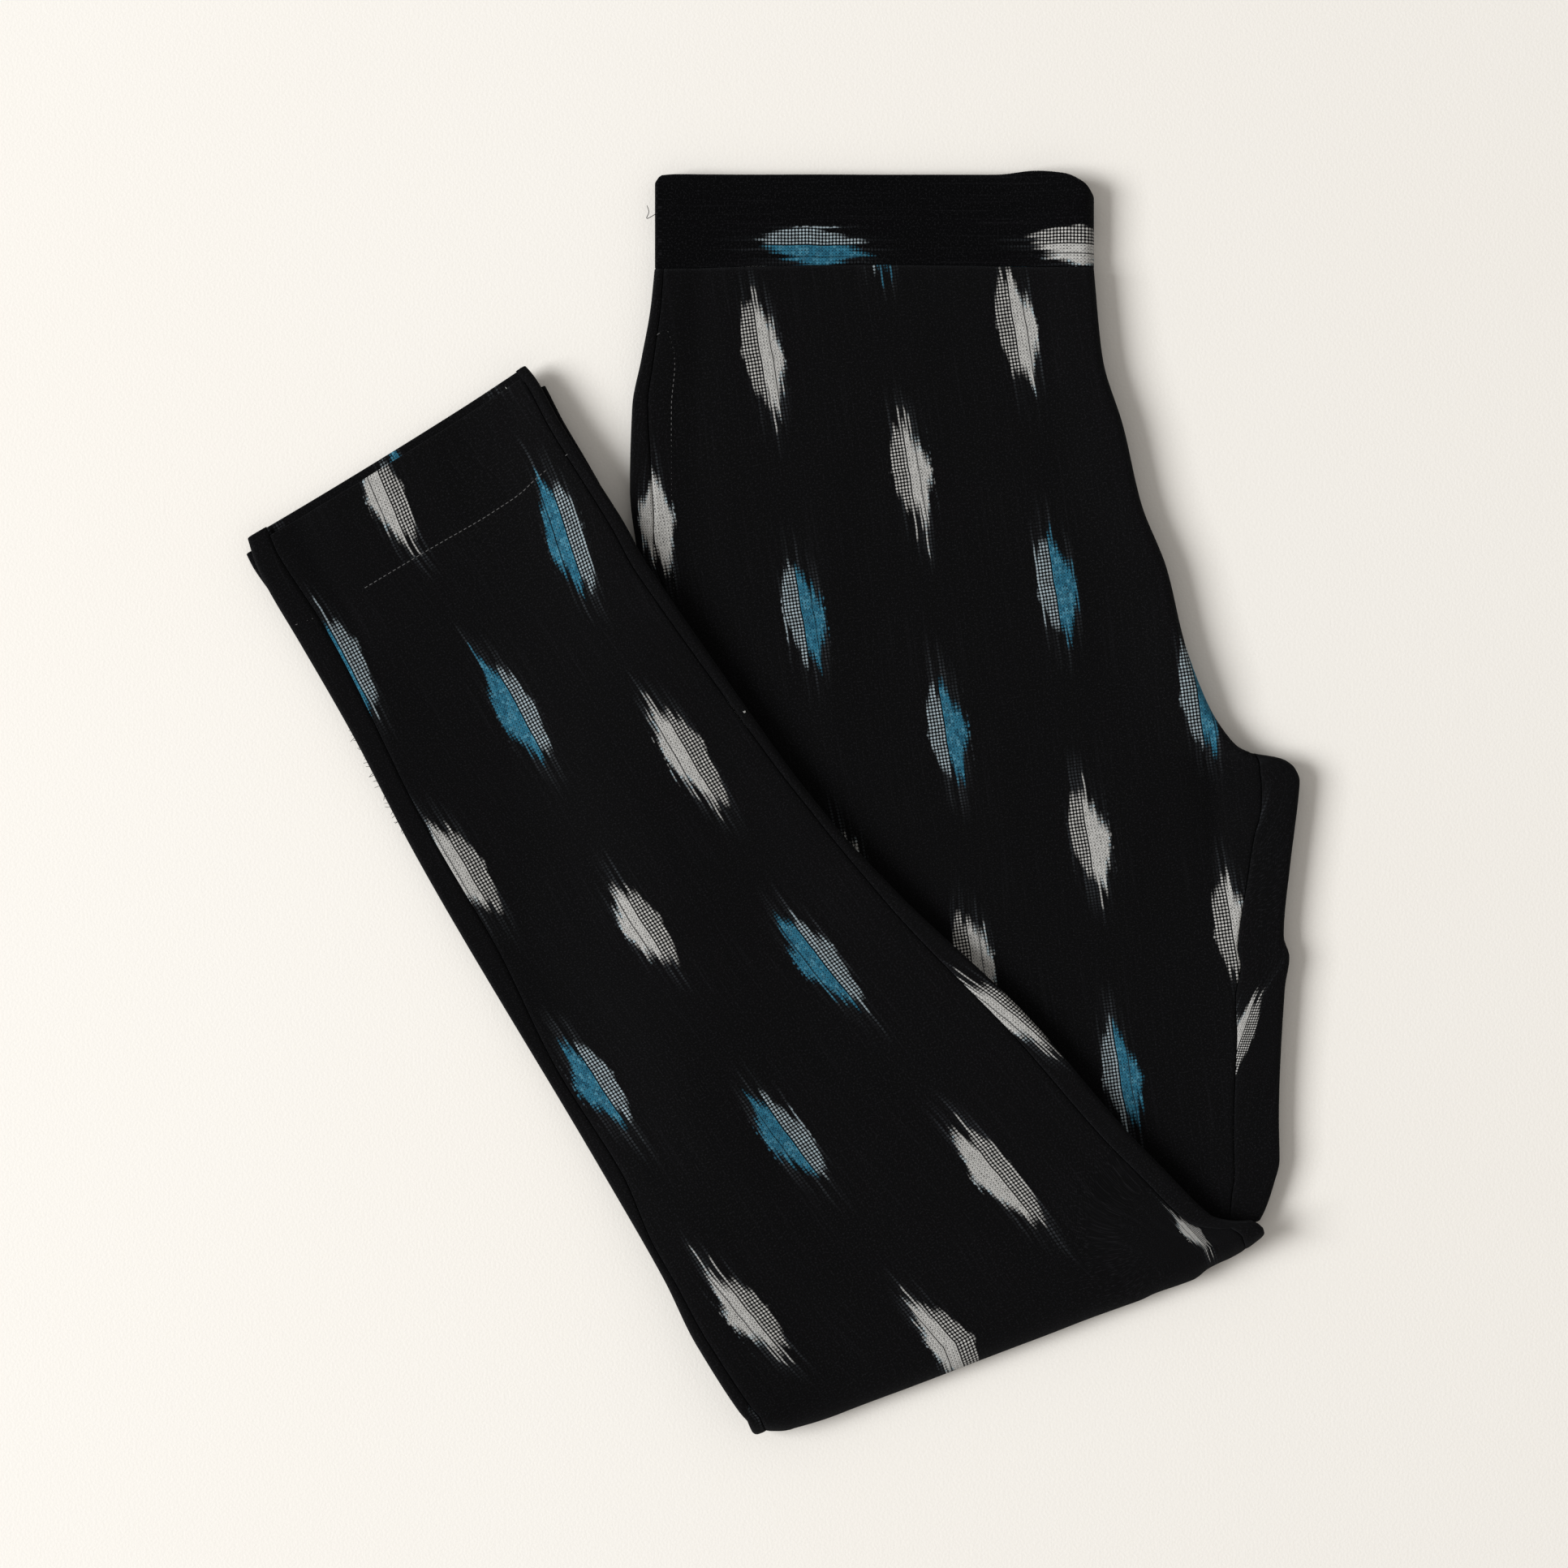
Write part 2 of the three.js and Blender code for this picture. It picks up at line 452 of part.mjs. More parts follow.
// Where the seam runs aslant at the crotch, its gap is wider along the row, so that it stays as wide across.
function crotchGap(y) {
  const seamX = (at) => thighRightX(at) - thighInseamInset(at);
  return SEAM_GAP * Math.hypot(1, (seamX(y + 2) - seamX(y - 2)) / 2);
}
function rightPanel(columnsOf, flipped) {
  return wall(thighRows.map((t) => {
    const rung = thighRung(t, 0, THIGH_FOOT_GAP);
    const ring = ringShape(rung, thighTube);
    const { y } = rung.right;
    const columns = columnsOf(ring, thighSideInset(rung.left.y), thighInseamInset(y), crotchGap(y));
    return tubeRow(ring, columns, CLOTH);
  }), false, flipped);
}
function leftPanel(columnsOf, flipped, hemAt) {
  const noInset = () => 0;
  const rows = [];
  const addRow = (t, turn) => {
    const rung = legRung(t, noInset, noInset);
    const ring = ringShape(rung, legTube);
    const left = legPlace(rung.left.x, rung.left.y).v;
    const right = legPlace(rung.right.x, rung.right.y).v;
    const toHem = (1 - t) * (HEM_LEFT_V - AXIS_LEFT_V);
    const thickness = CLOTH + HEM_EXTRA * (1 - ease((toHem - HEM_DEPTH) / HEM_EASE));
    const columns = columnsOf(ring, legSideInset(left), legInseamInset(right));
    rows.push(tubeRow(ring, columns, thickness, turn));
  };
  for (const t of legRows.filter((at) => at <= hemAt)) addRow(t);
  for (let k = 0; k <= FOLD_ROWS; k++) addRow(0, (PI * k) / FOLD_ROWS);
  return wall(rows, false, flipped);
}

// The hidden stretches: the left thigh on the surface, its turn at the knee, and the right lower leg.
function slabRow(ring, insets, turn) {
  const place = (c) => (turn === undefined ? ringPoint(ring, c, 0) : roundFold(ringPoint(ring, c, 0), turn));
  const columns = stops([
    { at: 0 }, { at: ring.leftArc, steps: 2 },
    ...betweenEdges(ring.leftArc, ring.across - ring.rightArc, ...insets),
    { at: ring.across, steps: 2 },
  ]);
  return columns.map((c) => ({ upper: place(c), lower: place(2 * ring.across - c) }));
}
function hiddenLayers() {
  const underRows = legRows.filter((t) => t === 1 || t < UNDER_LAST_ROW);
  const rows = [];
  const addLegRow = (t, turn) => {
    const rung = legRung(t, underLegLeft, underLegRight, UNDER_HEM_SHORT);
    const insets = [
      underLegLeft(legPlace(rung.left.x, rung.left.y).v),
      underLegRight(legPlace(rung.right.x, rung.right.y).v),
    ];
    rows.push(slabRow(ringShape(rung, legSlab), insets, turn));
  };
  for (const t of underRows) addLegRow(t);
  for (let k = 0; k <= FOLD_ROWS; k++) addLegRow(0, (PI * k) / FOLD_ROWS);
  for (const t of [...thighRows].reverse()) {
    const rung = thighRung(t, UNDER_THIGH_INSET, UNDER_FOOT_GAP);
    rows.push(slabRow(ringShape(rung, thighSlab), [UNDER_THIGH_INSET, UNDER_THIGH_INSET]));
  }
  // Below the fold the upper and lower sides of the slab change places.
  const turned = rows.map((row, i) => (i > underRows.length + FOLD_ROWS
    ? row.map(({ upper, lower }) => ({ upper: lower, lower: upper })) : row));
  return slab(turned);
}

// The waistband is one loop. Seen from its end it runs over the top from left to right, round the centre-front
// roll, back along the surface, and returns inside itself round the centre back.
const BAND_LEFT = -52;
const BAND_RIGHT = 140.5;
// Each layer's height in its middle, and what it gains at the side seam and at the centre-front roll.
const BAND_LAYERS = {
  leftFront: { height: 0.7, atLeft: 0, atRight: 0 },
  leftBack: { height: 2.5, atLeft: 0.8, atRight: 1.2 },
  rightBack: { height: 4.6, atLeft: 1.3, atRight: 3.1 },
  rightFront: { height: 6.7, atLeft: 1.7, atRight: 6.2 },
};
const ROLL_REACH = 5;         // how far each turn of the band swells out
const INSIDE_REACH = 2.4;
const SIDE_REACH = 1.3;
const INSIDE_GAP = 4;         // from the centre-back turn to the roll round it
const BAND_TOP_CORNER = [
  { x: -52, drop: 3.5 }, { x: -49, drop: 0.5 }, { x: -42, drop: 0 }, { x: 98, drop: 0 }, { x: 114, drop: -1.4 },
  { x: 127, drop: 0 }, { x: 136, drop: 4.5 }, { x: 140.5, drop: 10 },
];
const bandDrop = tableCurve(BAND_TOP_CORNER, 'x', 'drop');

function bandLoop() {
  const half = BAND_WALL / 2;
  const left = BAND_LEFT + half;
  const right = BAND_RIGHT - half;
  const heightAt = (layer, x) => {
    const { height, atLeft, atRight } = BAND_LAYERS[layer];
    return height + atLeft * bump(x - left, LOFT_WIDTH) + atRight * bump(right - x, LOFT_WIDTH);
  };
  const run = (layer, from, to, steps) => [...Array(steps).keys()].map((k) => {
    const x = mix(from, to, (k + 0.5) / steps);
    return new THREE.Vector2(x, heightAt(layer, x));
  });
  // Half a turn from one layer to another; side is 1 at the right and -1 at the left.
  const turn = (x, from, to, reach, side, steps) => [...Array(steps + 1).keys()].map((k) => {
    const angle = (PI * k) / steps;
    const middle = (heightAt(from, x) + heightAt(to, x)) / 2;
    const radius = (heightAt(from, x) - heightAt(to, x)) / 2;
    return new THREE.Vector2(x + side * reach * sin(angle), middle + radius * cos(angle));
  });
  const rollStart = right - ROLL_REACH;
  const sideStart = left + SIDE_REACH;
  const insideStart = rollStart - INSIDE_GAP;
  return [
    ...run('rightFront', sideStart, rollStart, 9),
    ...turn(rollStart, 'rightFront', 'leftFront', ROLL_REACH, 1, 8),
    ...run('leftFront', rollStart, sideStart, 7),
    ...turn(sideStart, 'leftFront', 'leftBack', SIDE_REACH, -1, 4),
    ...run('leftBack', sideStart, insideStart, 7),
    ...turn(insideStart, 'leftBack', 'rightBack', INSIDE_REACH, 1, 4),
    ...run('rightBack', insideStart, sideStart, 7),
    ...turn(sideStart, 'rightBack', 'rightFront', SIDE_REACH, -1, 4),
  ];
}
function waistband() {
  const loop = bandLoop();
  const offset = (i, distance) => {
    const before = loop[(i + loop.length - 1) % loop.length];
    const after = loop[(i + 1) % loop.length];
    const direction = after.clone().sub(before).normalize();
    return new THREE.Vector2(loop[i].x - direction.y * distance, loop[i].y + direction.x * distance);
  };
  const seamY = (x) => WAIST_Y + WAIST_ARCH * sin(PI * clamp01((x - BAND_LEFT) / (BAND_RIGHT - BAND_LEFT)));
  const rows = [...Array(BAND_ROWS + 1).keys()].map((row) => loop.map((_, i) => {
    const place = (distance) => {
      const p = offset(i, distance);
      return new THREE.Vector3(p.x, mix(seamY(p.x), BAND_TOP_Y - bandDrop(p.x), row / BAND_ROWS), p.y);
    };
    return { outer: place(BAND_WALL / 2), inner: place(-BAND_WALL / 2) };
  }));
  return wall(rows, true);
}

// ---------- the trousers ----------
const trousers = new THREE.Group();
function add(name, geometry, color) {
  const material = new THREE.MeshStandardMaterial({ color, roughness: 0.92, metalness: 0 });
  const mesh = new THREE.Mesh(geometry, material);
  mesh.name = name;
  trousers.add(mesh);
}
add('waistband', waistband(), 0x0e0e10);
add('right_front', rightPanel(frontColumns, true), 0x151517);
add('right_back', rightPanel(backColumns, false), 0x131315);
add('left_front', leftPanel(frontColumns, true, FRONT_HEM), 0x141416);
add('left_back', leftPanel(backColumns, false, 1), 0x121214);
add('hidden_layers', hiddenLayers(), 0x101012);

trousers.position.set(-MIDDLE.x, -MIDDLE.y, 0);

export default trousers;
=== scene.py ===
"""Tapered ikat trousers, folded in half and then at the knee, dressed for a picture.

The layout is in millimetres from the knee tip up, as in the part's source, and the meshes are in metres.
"""

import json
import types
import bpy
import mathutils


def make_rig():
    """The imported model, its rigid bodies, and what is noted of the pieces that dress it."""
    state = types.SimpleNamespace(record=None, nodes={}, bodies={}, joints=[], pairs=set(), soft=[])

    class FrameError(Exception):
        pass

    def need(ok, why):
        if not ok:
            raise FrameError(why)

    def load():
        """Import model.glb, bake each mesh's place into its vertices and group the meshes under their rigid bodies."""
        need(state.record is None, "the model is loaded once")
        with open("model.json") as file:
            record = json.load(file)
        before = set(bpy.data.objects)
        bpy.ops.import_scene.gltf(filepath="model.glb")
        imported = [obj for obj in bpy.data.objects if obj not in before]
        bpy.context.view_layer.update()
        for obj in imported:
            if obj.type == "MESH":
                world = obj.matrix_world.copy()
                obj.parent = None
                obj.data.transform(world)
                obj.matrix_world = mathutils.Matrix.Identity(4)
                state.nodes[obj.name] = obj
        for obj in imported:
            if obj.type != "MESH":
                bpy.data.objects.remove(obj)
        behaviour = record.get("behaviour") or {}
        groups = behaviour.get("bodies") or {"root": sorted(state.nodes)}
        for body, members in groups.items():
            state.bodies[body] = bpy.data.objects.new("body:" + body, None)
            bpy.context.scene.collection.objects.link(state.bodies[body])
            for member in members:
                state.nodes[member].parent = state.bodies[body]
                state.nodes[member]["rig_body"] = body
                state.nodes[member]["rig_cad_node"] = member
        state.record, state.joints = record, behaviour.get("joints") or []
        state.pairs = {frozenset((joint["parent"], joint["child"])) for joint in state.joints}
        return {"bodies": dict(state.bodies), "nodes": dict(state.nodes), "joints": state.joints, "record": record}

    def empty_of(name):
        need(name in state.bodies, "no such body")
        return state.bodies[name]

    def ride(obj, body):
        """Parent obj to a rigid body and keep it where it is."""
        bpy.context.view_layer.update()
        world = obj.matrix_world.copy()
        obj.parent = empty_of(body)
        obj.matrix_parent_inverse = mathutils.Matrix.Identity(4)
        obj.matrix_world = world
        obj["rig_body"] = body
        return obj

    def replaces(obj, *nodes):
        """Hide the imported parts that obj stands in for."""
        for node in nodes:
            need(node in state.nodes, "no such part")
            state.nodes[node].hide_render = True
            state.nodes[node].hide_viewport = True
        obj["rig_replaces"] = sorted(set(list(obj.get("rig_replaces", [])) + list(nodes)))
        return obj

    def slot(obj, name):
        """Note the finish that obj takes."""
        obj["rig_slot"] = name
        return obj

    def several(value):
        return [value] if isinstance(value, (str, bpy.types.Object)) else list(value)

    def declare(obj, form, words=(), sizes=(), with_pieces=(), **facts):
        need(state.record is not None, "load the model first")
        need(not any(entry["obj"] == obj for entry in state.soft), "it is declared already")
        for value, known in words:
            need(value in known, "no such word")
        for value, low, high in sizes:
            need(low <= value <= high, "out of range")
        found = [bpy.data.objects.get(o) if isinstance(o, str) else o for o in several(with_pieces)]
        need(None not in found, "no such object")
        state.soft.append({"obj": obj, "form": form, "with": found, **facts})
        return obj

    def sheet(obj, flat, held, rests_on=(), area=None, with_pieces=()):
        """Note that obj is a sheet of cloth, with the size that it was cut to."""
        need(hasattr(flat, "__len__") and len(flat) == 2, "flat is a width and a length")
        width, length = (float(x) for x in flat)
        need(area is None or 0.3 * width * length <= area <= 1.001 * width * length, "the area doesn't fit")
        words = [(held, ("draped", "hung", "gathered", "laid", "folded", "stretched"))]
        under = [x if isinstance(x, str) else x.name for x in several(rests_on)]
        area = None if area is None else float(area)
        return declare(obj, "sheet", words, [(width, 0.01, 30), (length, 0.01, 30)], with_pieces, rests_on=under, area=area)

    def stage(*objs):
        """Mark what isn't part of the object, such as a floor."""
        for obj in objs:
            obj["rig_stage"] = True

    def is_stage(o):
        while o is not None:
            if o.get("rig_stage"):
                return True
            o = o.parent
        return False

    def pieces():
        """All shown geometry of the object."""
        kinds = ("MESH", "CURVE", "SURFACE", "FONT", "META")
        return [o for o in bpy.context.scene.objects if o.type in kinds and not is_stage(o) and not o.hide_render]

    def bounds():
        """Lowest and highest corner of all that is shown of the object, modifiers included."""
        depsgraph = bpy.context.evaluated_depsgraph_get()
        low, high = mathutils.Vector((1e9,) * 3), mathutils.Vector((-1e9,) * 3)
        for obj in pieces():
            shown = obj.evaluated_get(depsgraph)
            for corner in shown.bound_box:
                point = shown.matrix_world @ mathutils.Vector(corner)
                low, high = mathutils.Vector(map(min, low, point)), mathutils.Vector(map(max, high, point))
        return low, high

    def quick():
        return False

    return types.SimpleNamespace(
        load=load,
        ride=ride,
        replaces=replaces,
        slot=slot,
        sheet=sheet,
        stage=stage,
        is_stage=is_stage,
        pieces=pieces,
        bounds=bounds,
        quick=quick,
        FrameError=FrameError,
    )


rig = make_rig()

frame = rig.load()

import json
import math
import random

import bpy
import numpy as np
from mathutils import Vector

CAD_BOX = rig.bounds()
FINE = 1 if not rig.quick() else 2

# ---------- sizes ----------
MM = 0.001
MIDDLE = (-0.5, 275.7)  # middle of the part, which is its origin
CLOTH = 0.8  # wall of one layer
BAND_WALL = 1.3  # the waistband is doubled
SEAM_GAP = 0.3
LAYER_GAP = 0.8
TURN_GAP = 0.3
WAIST_Y = 510.5
WAIST_ARCH = 2.0
ARCH_SHARE = 1 / 6  # share of the thigh's length over which the arch dies away
BAND_TOP_Y = 552.0
KNEE_TIP = np.array([-2.5, 0.5])
KNEE_CORNER = np.array([211.5, 82.0])
FOLD_AXIS_LEFT = 11.0  # how far in the fold's axis lies, at the fold's left end and at its right
FOLD_AXIS_RIGHT = 7.0
FOLD_SPARE = 4.0  # past the knee's corner, where the lower leg's nose still folds
THIGH_SLAB = 3.2
THIGH_TUBE = 3.8
LEG_SLAB = 3.0
LEG_TUBE = 3.6
LEFT_LOFT = 0.8
LOWER_LOFT_SHARE = 0.45  # share of the right edge's loft that the thigh underneath takes
LEG_LOFT = 1.1
LOFT_WIDTH = 23.0
HEM_STEP = (4.0, 4.0)  # how much shorter the front's hem is than the back's
HEM_DEPTH = 39.0
HEM_EXTRA = 0.35
UNDER_THIGH_INSET = 2.0
UNDER_HEM_SHORT = (5.0, 11.5)  # how much shorter the leg underneath is, at its left and at its right
HEM_LEFT_V = 451.6
HEM_RIGHT_V = 442.2
HEM_SAG = 0.8  # how far the middle of the hem lies back
HEM_BEND = 0.05  # share of the lower leg over which its rows turn to the hem's slant
THIGH_FOOT_GAP = 5.5  # from the fold's axis to the end of the thigh on top
UNDER_FOOT_GAP = 4.0  # and to the end of the thigh under it
DRAPE_START = 6.0
DRAPE = 70.0
UNCOVER = 14.0
ALLOWANCE = 9.0  # seam allowances, which show through as a slight step beside each seam
ALLOWANCE_RISE = 0.22
ALLOWANCE_EDGE = 2.5
SEAM_DIP = 0.5
SEAM_DIP_WIDTH = 0.8
THIGH_GRAIN = 0.15  # how far the small waves turn from upright on the thigh,
LEG_GRAIN = 0.1  # and from the leg's own direction on the lower leg

# ---------- outlines, each a short table of (place, value) ----------
THIGH_LEFT = ((512, -52), (493, -54), (471, -58), (450, -62), (415, -63), (386, -59.5), (368, -54),
              (273, -41), (131, -21.5), (0, -4))
THIGH_RIGHT = ((512, 140), (471, 144), (441, 153), (407, 161), (379, 172), (346, 180), (318, 191),
               (305, 199.5), (301, 203.5), (299, 207.5), (298, 211), (297.3, 215.5), (296.5, 220),
               (295.2, 224), (291.5, 228.4), (286, 230.4), (280, 230), (263, 228), (251, 226.5),
               (218, 223.5), (209, 226), (195, 224), (138, 221.5), (120, 221.8), (110, 219.5),
               (98, 215.5), (93, 213), (82, 209))
THIGH_SIDE_SEAM = ((512, 4), (482, 5), (450, 7), (407, 10), (377, 6), (0, 5))
THIGH_INSEAM = ((512, -2), (299, -2), (297.6, 3), (296.5, 8), (295.2, 11.5), (291.5, 15.5), (286, 17),
                (276, 16.4), (263, 18.2), (251, 18.6), (220, 20.5), (200, 22.5), (176, 20.5), (120, 20.8),
                (93, 16))
THIGH_RIGHT_LOFT = ((512, 6.2), (440, 7.5), (330, 7), (290, 5), (200, 4), (82, 2))
LEG_LEFT = ((452, 41.5), (438, 37.2), (423, 35.2), (404, 33.7), (357, 29.2), (299, 21.2), (260, 17.2),
            (135, 7.2), (82, 2.4), (50, -2.5), (17, -4), (0, -1.2))
LEG_RIGHT = ((442, 184.5), (436, 185), (412, 182.5), (362, 180), (339, 177.5), (239, 176.5), (203, 178),
             (163, 183), (79, 199), (19, 204.5), (-4, 208), (-33, 213), (-40, 218.5), (-43.5, 223),
             (-46, 227), (-51, 228.5), (-58, 229.5))
LEG_SIDE_SEAM = ((452, 10), (404, 13), (324, 10), (252, 11), (180, 6), (133, 7.5), (95, 3.5), (45, 5.5),
                 (0, 6))
LEG_INSEAM = ((436, 5), (340, 6), (211, 4.5), (89, 11), (-55, 10))
UNDER_LEG_LEFT = ((452, -4), (425, 0), (400, 2.5), (0, 2.5))
UNDER_LEG_RIGHT = ((442, -2), (398, -1), (362, 1), (300, 2.5), (-58, 2.5))
# How far the knee fold reaches past its axis, from its left end (share 0) to its right end.
FOLD_REACH = ((0, 8), (0.04, 11), (0.15, 12.7), (0.5, 12.5), (0.62, 12.1), (0.74, 12.6), (0.78, 11.8),
              (0.85, 11.9), (0.885, 9.7), (0.93, 8.6), (0.97, 6.8), (1, 4.5))

# ---------- folds and creases: (x1, y1, x2, y2, height, width) ----------
THIGH_FOLDS = (
    (-33, 512, -32, 370, -0.9, 9), (24, 420, 26, 330, 0.9, 12), (95, 500, 130, 350, 0.8, 14),
    (192, 318, 195, 250, -1.5, 8), (170, 330, 155, 240, 0.9, 13),
)
THIGH_CREASES = (
    (-33, 508, -34, 440, -0.35, 3.5), (-22, 500, -20, 395, 0.25, 5), (24, 380, 27, 275, 0.3, 6),
    (60, 505, 72, 430, 0.22, 6), (118, 500, 128, 430, -0.25, 5), (191, 314, 194, 262, -0.7, 3.5),
    (181, 322, 176, 270, 0.35, 5), (206, 290, 150, 262, 0.18, 4), (-20, 330, 60, 318, 0.10, 2),
    (70, 324, 118, 330, 0.10, 2), (100, 300, 116, 190, 0.22, 8), (150, 180, 160, 110, -0.25, 7),
    (199, 111, 216, 122, 0.5, 5), (194, 105, 204, 98, -0.5, 5), (60, 250, 75, 190, -0.2, 8),
)
LEG_FOLDS = (
    (-209, 398, -186, 358, -1.0, 10), (-150, 420, -70, 270, 0.9, 13), (-110, 250, 20, 70, 0.8, 14),
    (10, 270, 120, 130, 0.9, 13), (60, 150, 150, 75, -0.8, 10),
)
LEG_CREASES = (
    (-209, 398, -200, 378, -0.45, 3.5), (-196, 380, -185, 352, -0.3, 5), (-120, 420, -100, 380, -0.25, 5),
    (-170, 330, -120, 240, 0.3, 7), (-90, 330, -40, 240, 0.22, 6), (-20, 220, 60, 120, -0.22, 6),
    (-60, 120, 10, 30, 0.3, 8), (90, 120, 190, 70, 0.35, 7), (40, 60, 120, 50, -0.25, 6),
    (-140, 380, -95, 402, 0.14, 3), (100, 160, 140, 120, -0.2, 5), (150, 90, 185, 100, -0.3, 5),
)

# Small waves: (height, length across, length along, start, bend, and the bend's own length across,
# length along and start). A length of 0 stands for none.
RIPPLES = (
    (0.10, 8.5, 0, 0, 1.3, 0, 61, 0), (0.13, 17, 0, 0, 1.1, 0, 43, 2), (0.07, 0, 21, 0, 1.7, 33, 0, 0),
    (0.05, 6.3, 10.5, 0, 1.5, 0, 27, 0),
)
BAND_RIPPLES = ((0.22, 19, 0, 0.8, 0, 0, 0, 0), (0.16, 8.3, 15, 0, 0, 0, 0, 0),
                (0.10, 31, -9, 0, 0, 0, 0, 0))


# ---------- small helpers ----------
def ease(t):
    t = np.clip(t, 0.0, 1.0)
    return t * t * (3 - 2 * t)


def mix(a, b, t):
    return a + (b - a) * t


def bump(distance, width):
    return np.exp(-((np.maximum(0, distance) / width) ** 2))


def run_lengths(points):
    """How far along a line of points each of them lies."""
    return np.concatenate([[0], np.cumsum(np.linalg.norm(np.diff(points, axis=0), axis=1))])


def table_curve(rows):
    """A smooth curve through a table of (place, value)."""
    rows = sorted(rows)
    place = np.array([row[0] for row in rows], float)
    value = np.array([row[1] for row in rows], float)
    slope = np.diff(value) / np.diff(place)
    before = np.concatenate([slope[:1], slope])
    after = np.concatenate([slope, slope[-1:]])
    product = before * after
    total = np.where(np.abs(before + after) > 1e-9, before + after, 1.0)
    tangent = np.where(product > 0, 2 * product / total, 0.0)

    def read(at):
        at = np.clip(np.asarray(at, float), place[0], place[-1])
        i = np.clip(np.searchsorted(place, at, side="right") - 1, 0, len(place) - 2)
        span = place[i + 1] - place[i]
        t = (at - place[i]) / span
        rise = t * t * (3 - 2 * t)
        bend = tangent[i] * t * (1 - t) ** 2 - tangent[i + 1] * t * t * (1 - t)
        return mix(value[i], value[i + 1], rise) + span * bend

    return read


def crease_height(creases, x, y):
    height = np.zeros(np.broadcast(x, y).shape)
    for x1, y1, x2, y2, rise, width in creases:
        dx, dy = x2 - x1, y2 - y1
        length = math.hypot(dx, dy)
        along = ((x - x1) * dx + (y - y1) * dy) / length / length
        aside = ((x - x1) * dy - (y - y1) * dx) / length
        past = np.maximum(0, np.maximum(-along, along - 1)) * length
        height += rise * np.exp(-((aside / width) ** 2) - (past / width / 2) ** 2)
    return height


def phase(across, along, length_across, length_along, start):
    """A wave's phase, where a length of 0 stands for none."""
    if length_across:
        start = start + across / length_across
    if length_along:
        start = start + along / length_along
    return start


def waves(table, across, along):
    total = 0.0
    for height, length_across, length_along, start, bend, bend_across, bend_along, bend_start in table:
        bent = bend * np.sin(phase(across, along, bend_across, bend_along, bend_start))
        total = total + height * np.sin(phase(across, along, length_across, length_along, start) + bent)
    return total


def ripple(x, y, turn):
    """The slight unevenness of cloth that lies loose, longer along the warp than across."""
    across = x * math.cos(turn) + y * math.sin(turn)
    along = y * math.cos(turn) - x * math.sin(turn)
    return waves(RIPPLES, across, along)


thigh_left_x = table_curve(THIGH_LEFT)
thigh_right_x = table_curve(THIGH_RIGHT)
thigh_right_loft = table_curve(THIGH_RIGHT_LOFT)
thigh_side_inset = table_curve(THIGH_SIDE_SEAM)
thigh_inseam_inset = table_curve(THIGH_INSEAM)
leg_left_u = table_curve(LEG_LEFT)
leg_right_u = table_curve(LEG_RIGHT)
leg_side_inset = table_curve(LEG_SIDE_SEAM)
leg_inseam_inset = table_curve(LEG_INSEAM)
under_leg_left = table_curve(UNDER_LEG_LEFT)
under_leg_right = table_curve(UNDER_LEG_RIGHT)
fold_reach = table_curve(FOLD_REACH)

LEG_AXIS = np.array([-0.58, 0.815]) / math.hypot(0.58, 0.815)
LEG_ACROSS = np.array([LEG_AXIS[1], -LEG_AXIS[0]])
LEG_TURN = math.atan2(LEG_ACROSS[1], LEG_ACROSS[0])
FOLD_DIRECTION = (KNEE_CORNER - KNEE_TIP) / np.linalg.norm(KNEE_CORNER - KNEE_TIP)
FOLD_INWARD = np.array([-FOLD_DIRECTION[1], FOLD_DIRECTION[0]])
FOLD_LENGTH = float(np.linalg.norm(KNEE_CORNER - KNEE_TIP)) + FOLD_SPARE


def leg_point(u, v):
    return KNEE_TIP + u * LEG_ACROSS + v * LEG_AXIS


def leg_place(x, y):
    u = (x - KNEE_TIP[0]) * LEG_ACROSS[0] + (y - KNEE_TIP[1]) * LEG_ACROSS[1]
    v = (x - KNEE_TIP[0]) * LEG_AXIS[0] + (y - KNEE_TIP[1]) * LEG_AXIS[1]
    return u, v


# ---------- heights of the layers: (base, thickness) at a point ----------
def uncovered(x, y):
    """1 on the thigh, and 0 where the lower leg covers it."""
    u, v = leg_place(x, y)
    return ease((u - leg_right_u(v)) / UNCOVER)


def thigh_thickness(x, y, flat, loft_share):
    left = LEFT_LOFT * bump(x - thigh_left_x(y), LOFT_WIDTH)
    return flat + left + loft_share * thigh_right_loft(y) * bump(thigh_right_x(y) - x, LOFT_WIDTH)


def thigh_slab(x, y):
    thick = thigh_thickness(x, y, THIGH_SLAB, LOWER_LOFT_SHARE)
    return np.zeros_like(thick), thick


def thigh_tube(x, y):
    thick = thigh_thickness(x, y, THIGH_TUBE, 1 - LOWER_LOFT_SHARE)
    return thigh_slab(x, y)[1] + LAYER_GAP, thick + uncovered(x, y) * crease_height(THIGH_FOLDS, x, y)


def ground_height(x, y):
    base, thick = thigh_tube(x, y)
    outside = np.maximum(0, thigh_left_x(y) - x - DRAPE_START)
    return (base + thick + LAYER_GAP + TURN_GAP) * (1 - ease(outside / DRAPE))


def leg_edge_loft(x, y):
    u, v = leg_place(x, y)
    return LEG_LOFT * (bump(u - leg_left_u(v), LOFT_WIDTH) + bump(leg_right_u(v) - u, LOFT_WIDTH))


def leg_slab(x, y):
    return ground_height(x, y), LEG_SLAB + leg_edge_loft(x, y)


def leg_tube(x, y):
    base, thick = leg_slab(x, y)
    return base + thick + LAYER_GAP, LEG_TUBE + leg_edge_loft(x, y) + crease_height(LEG_FOLDS, x, y)


def thigh_surface(x, y):
    """What the cloth on top of the thigh adds to its tube."""
    return uncovered(x, y) * (crease_height(THIGH_CREASES, x, y) + ripple(x, y, THIGH_GRAIN))


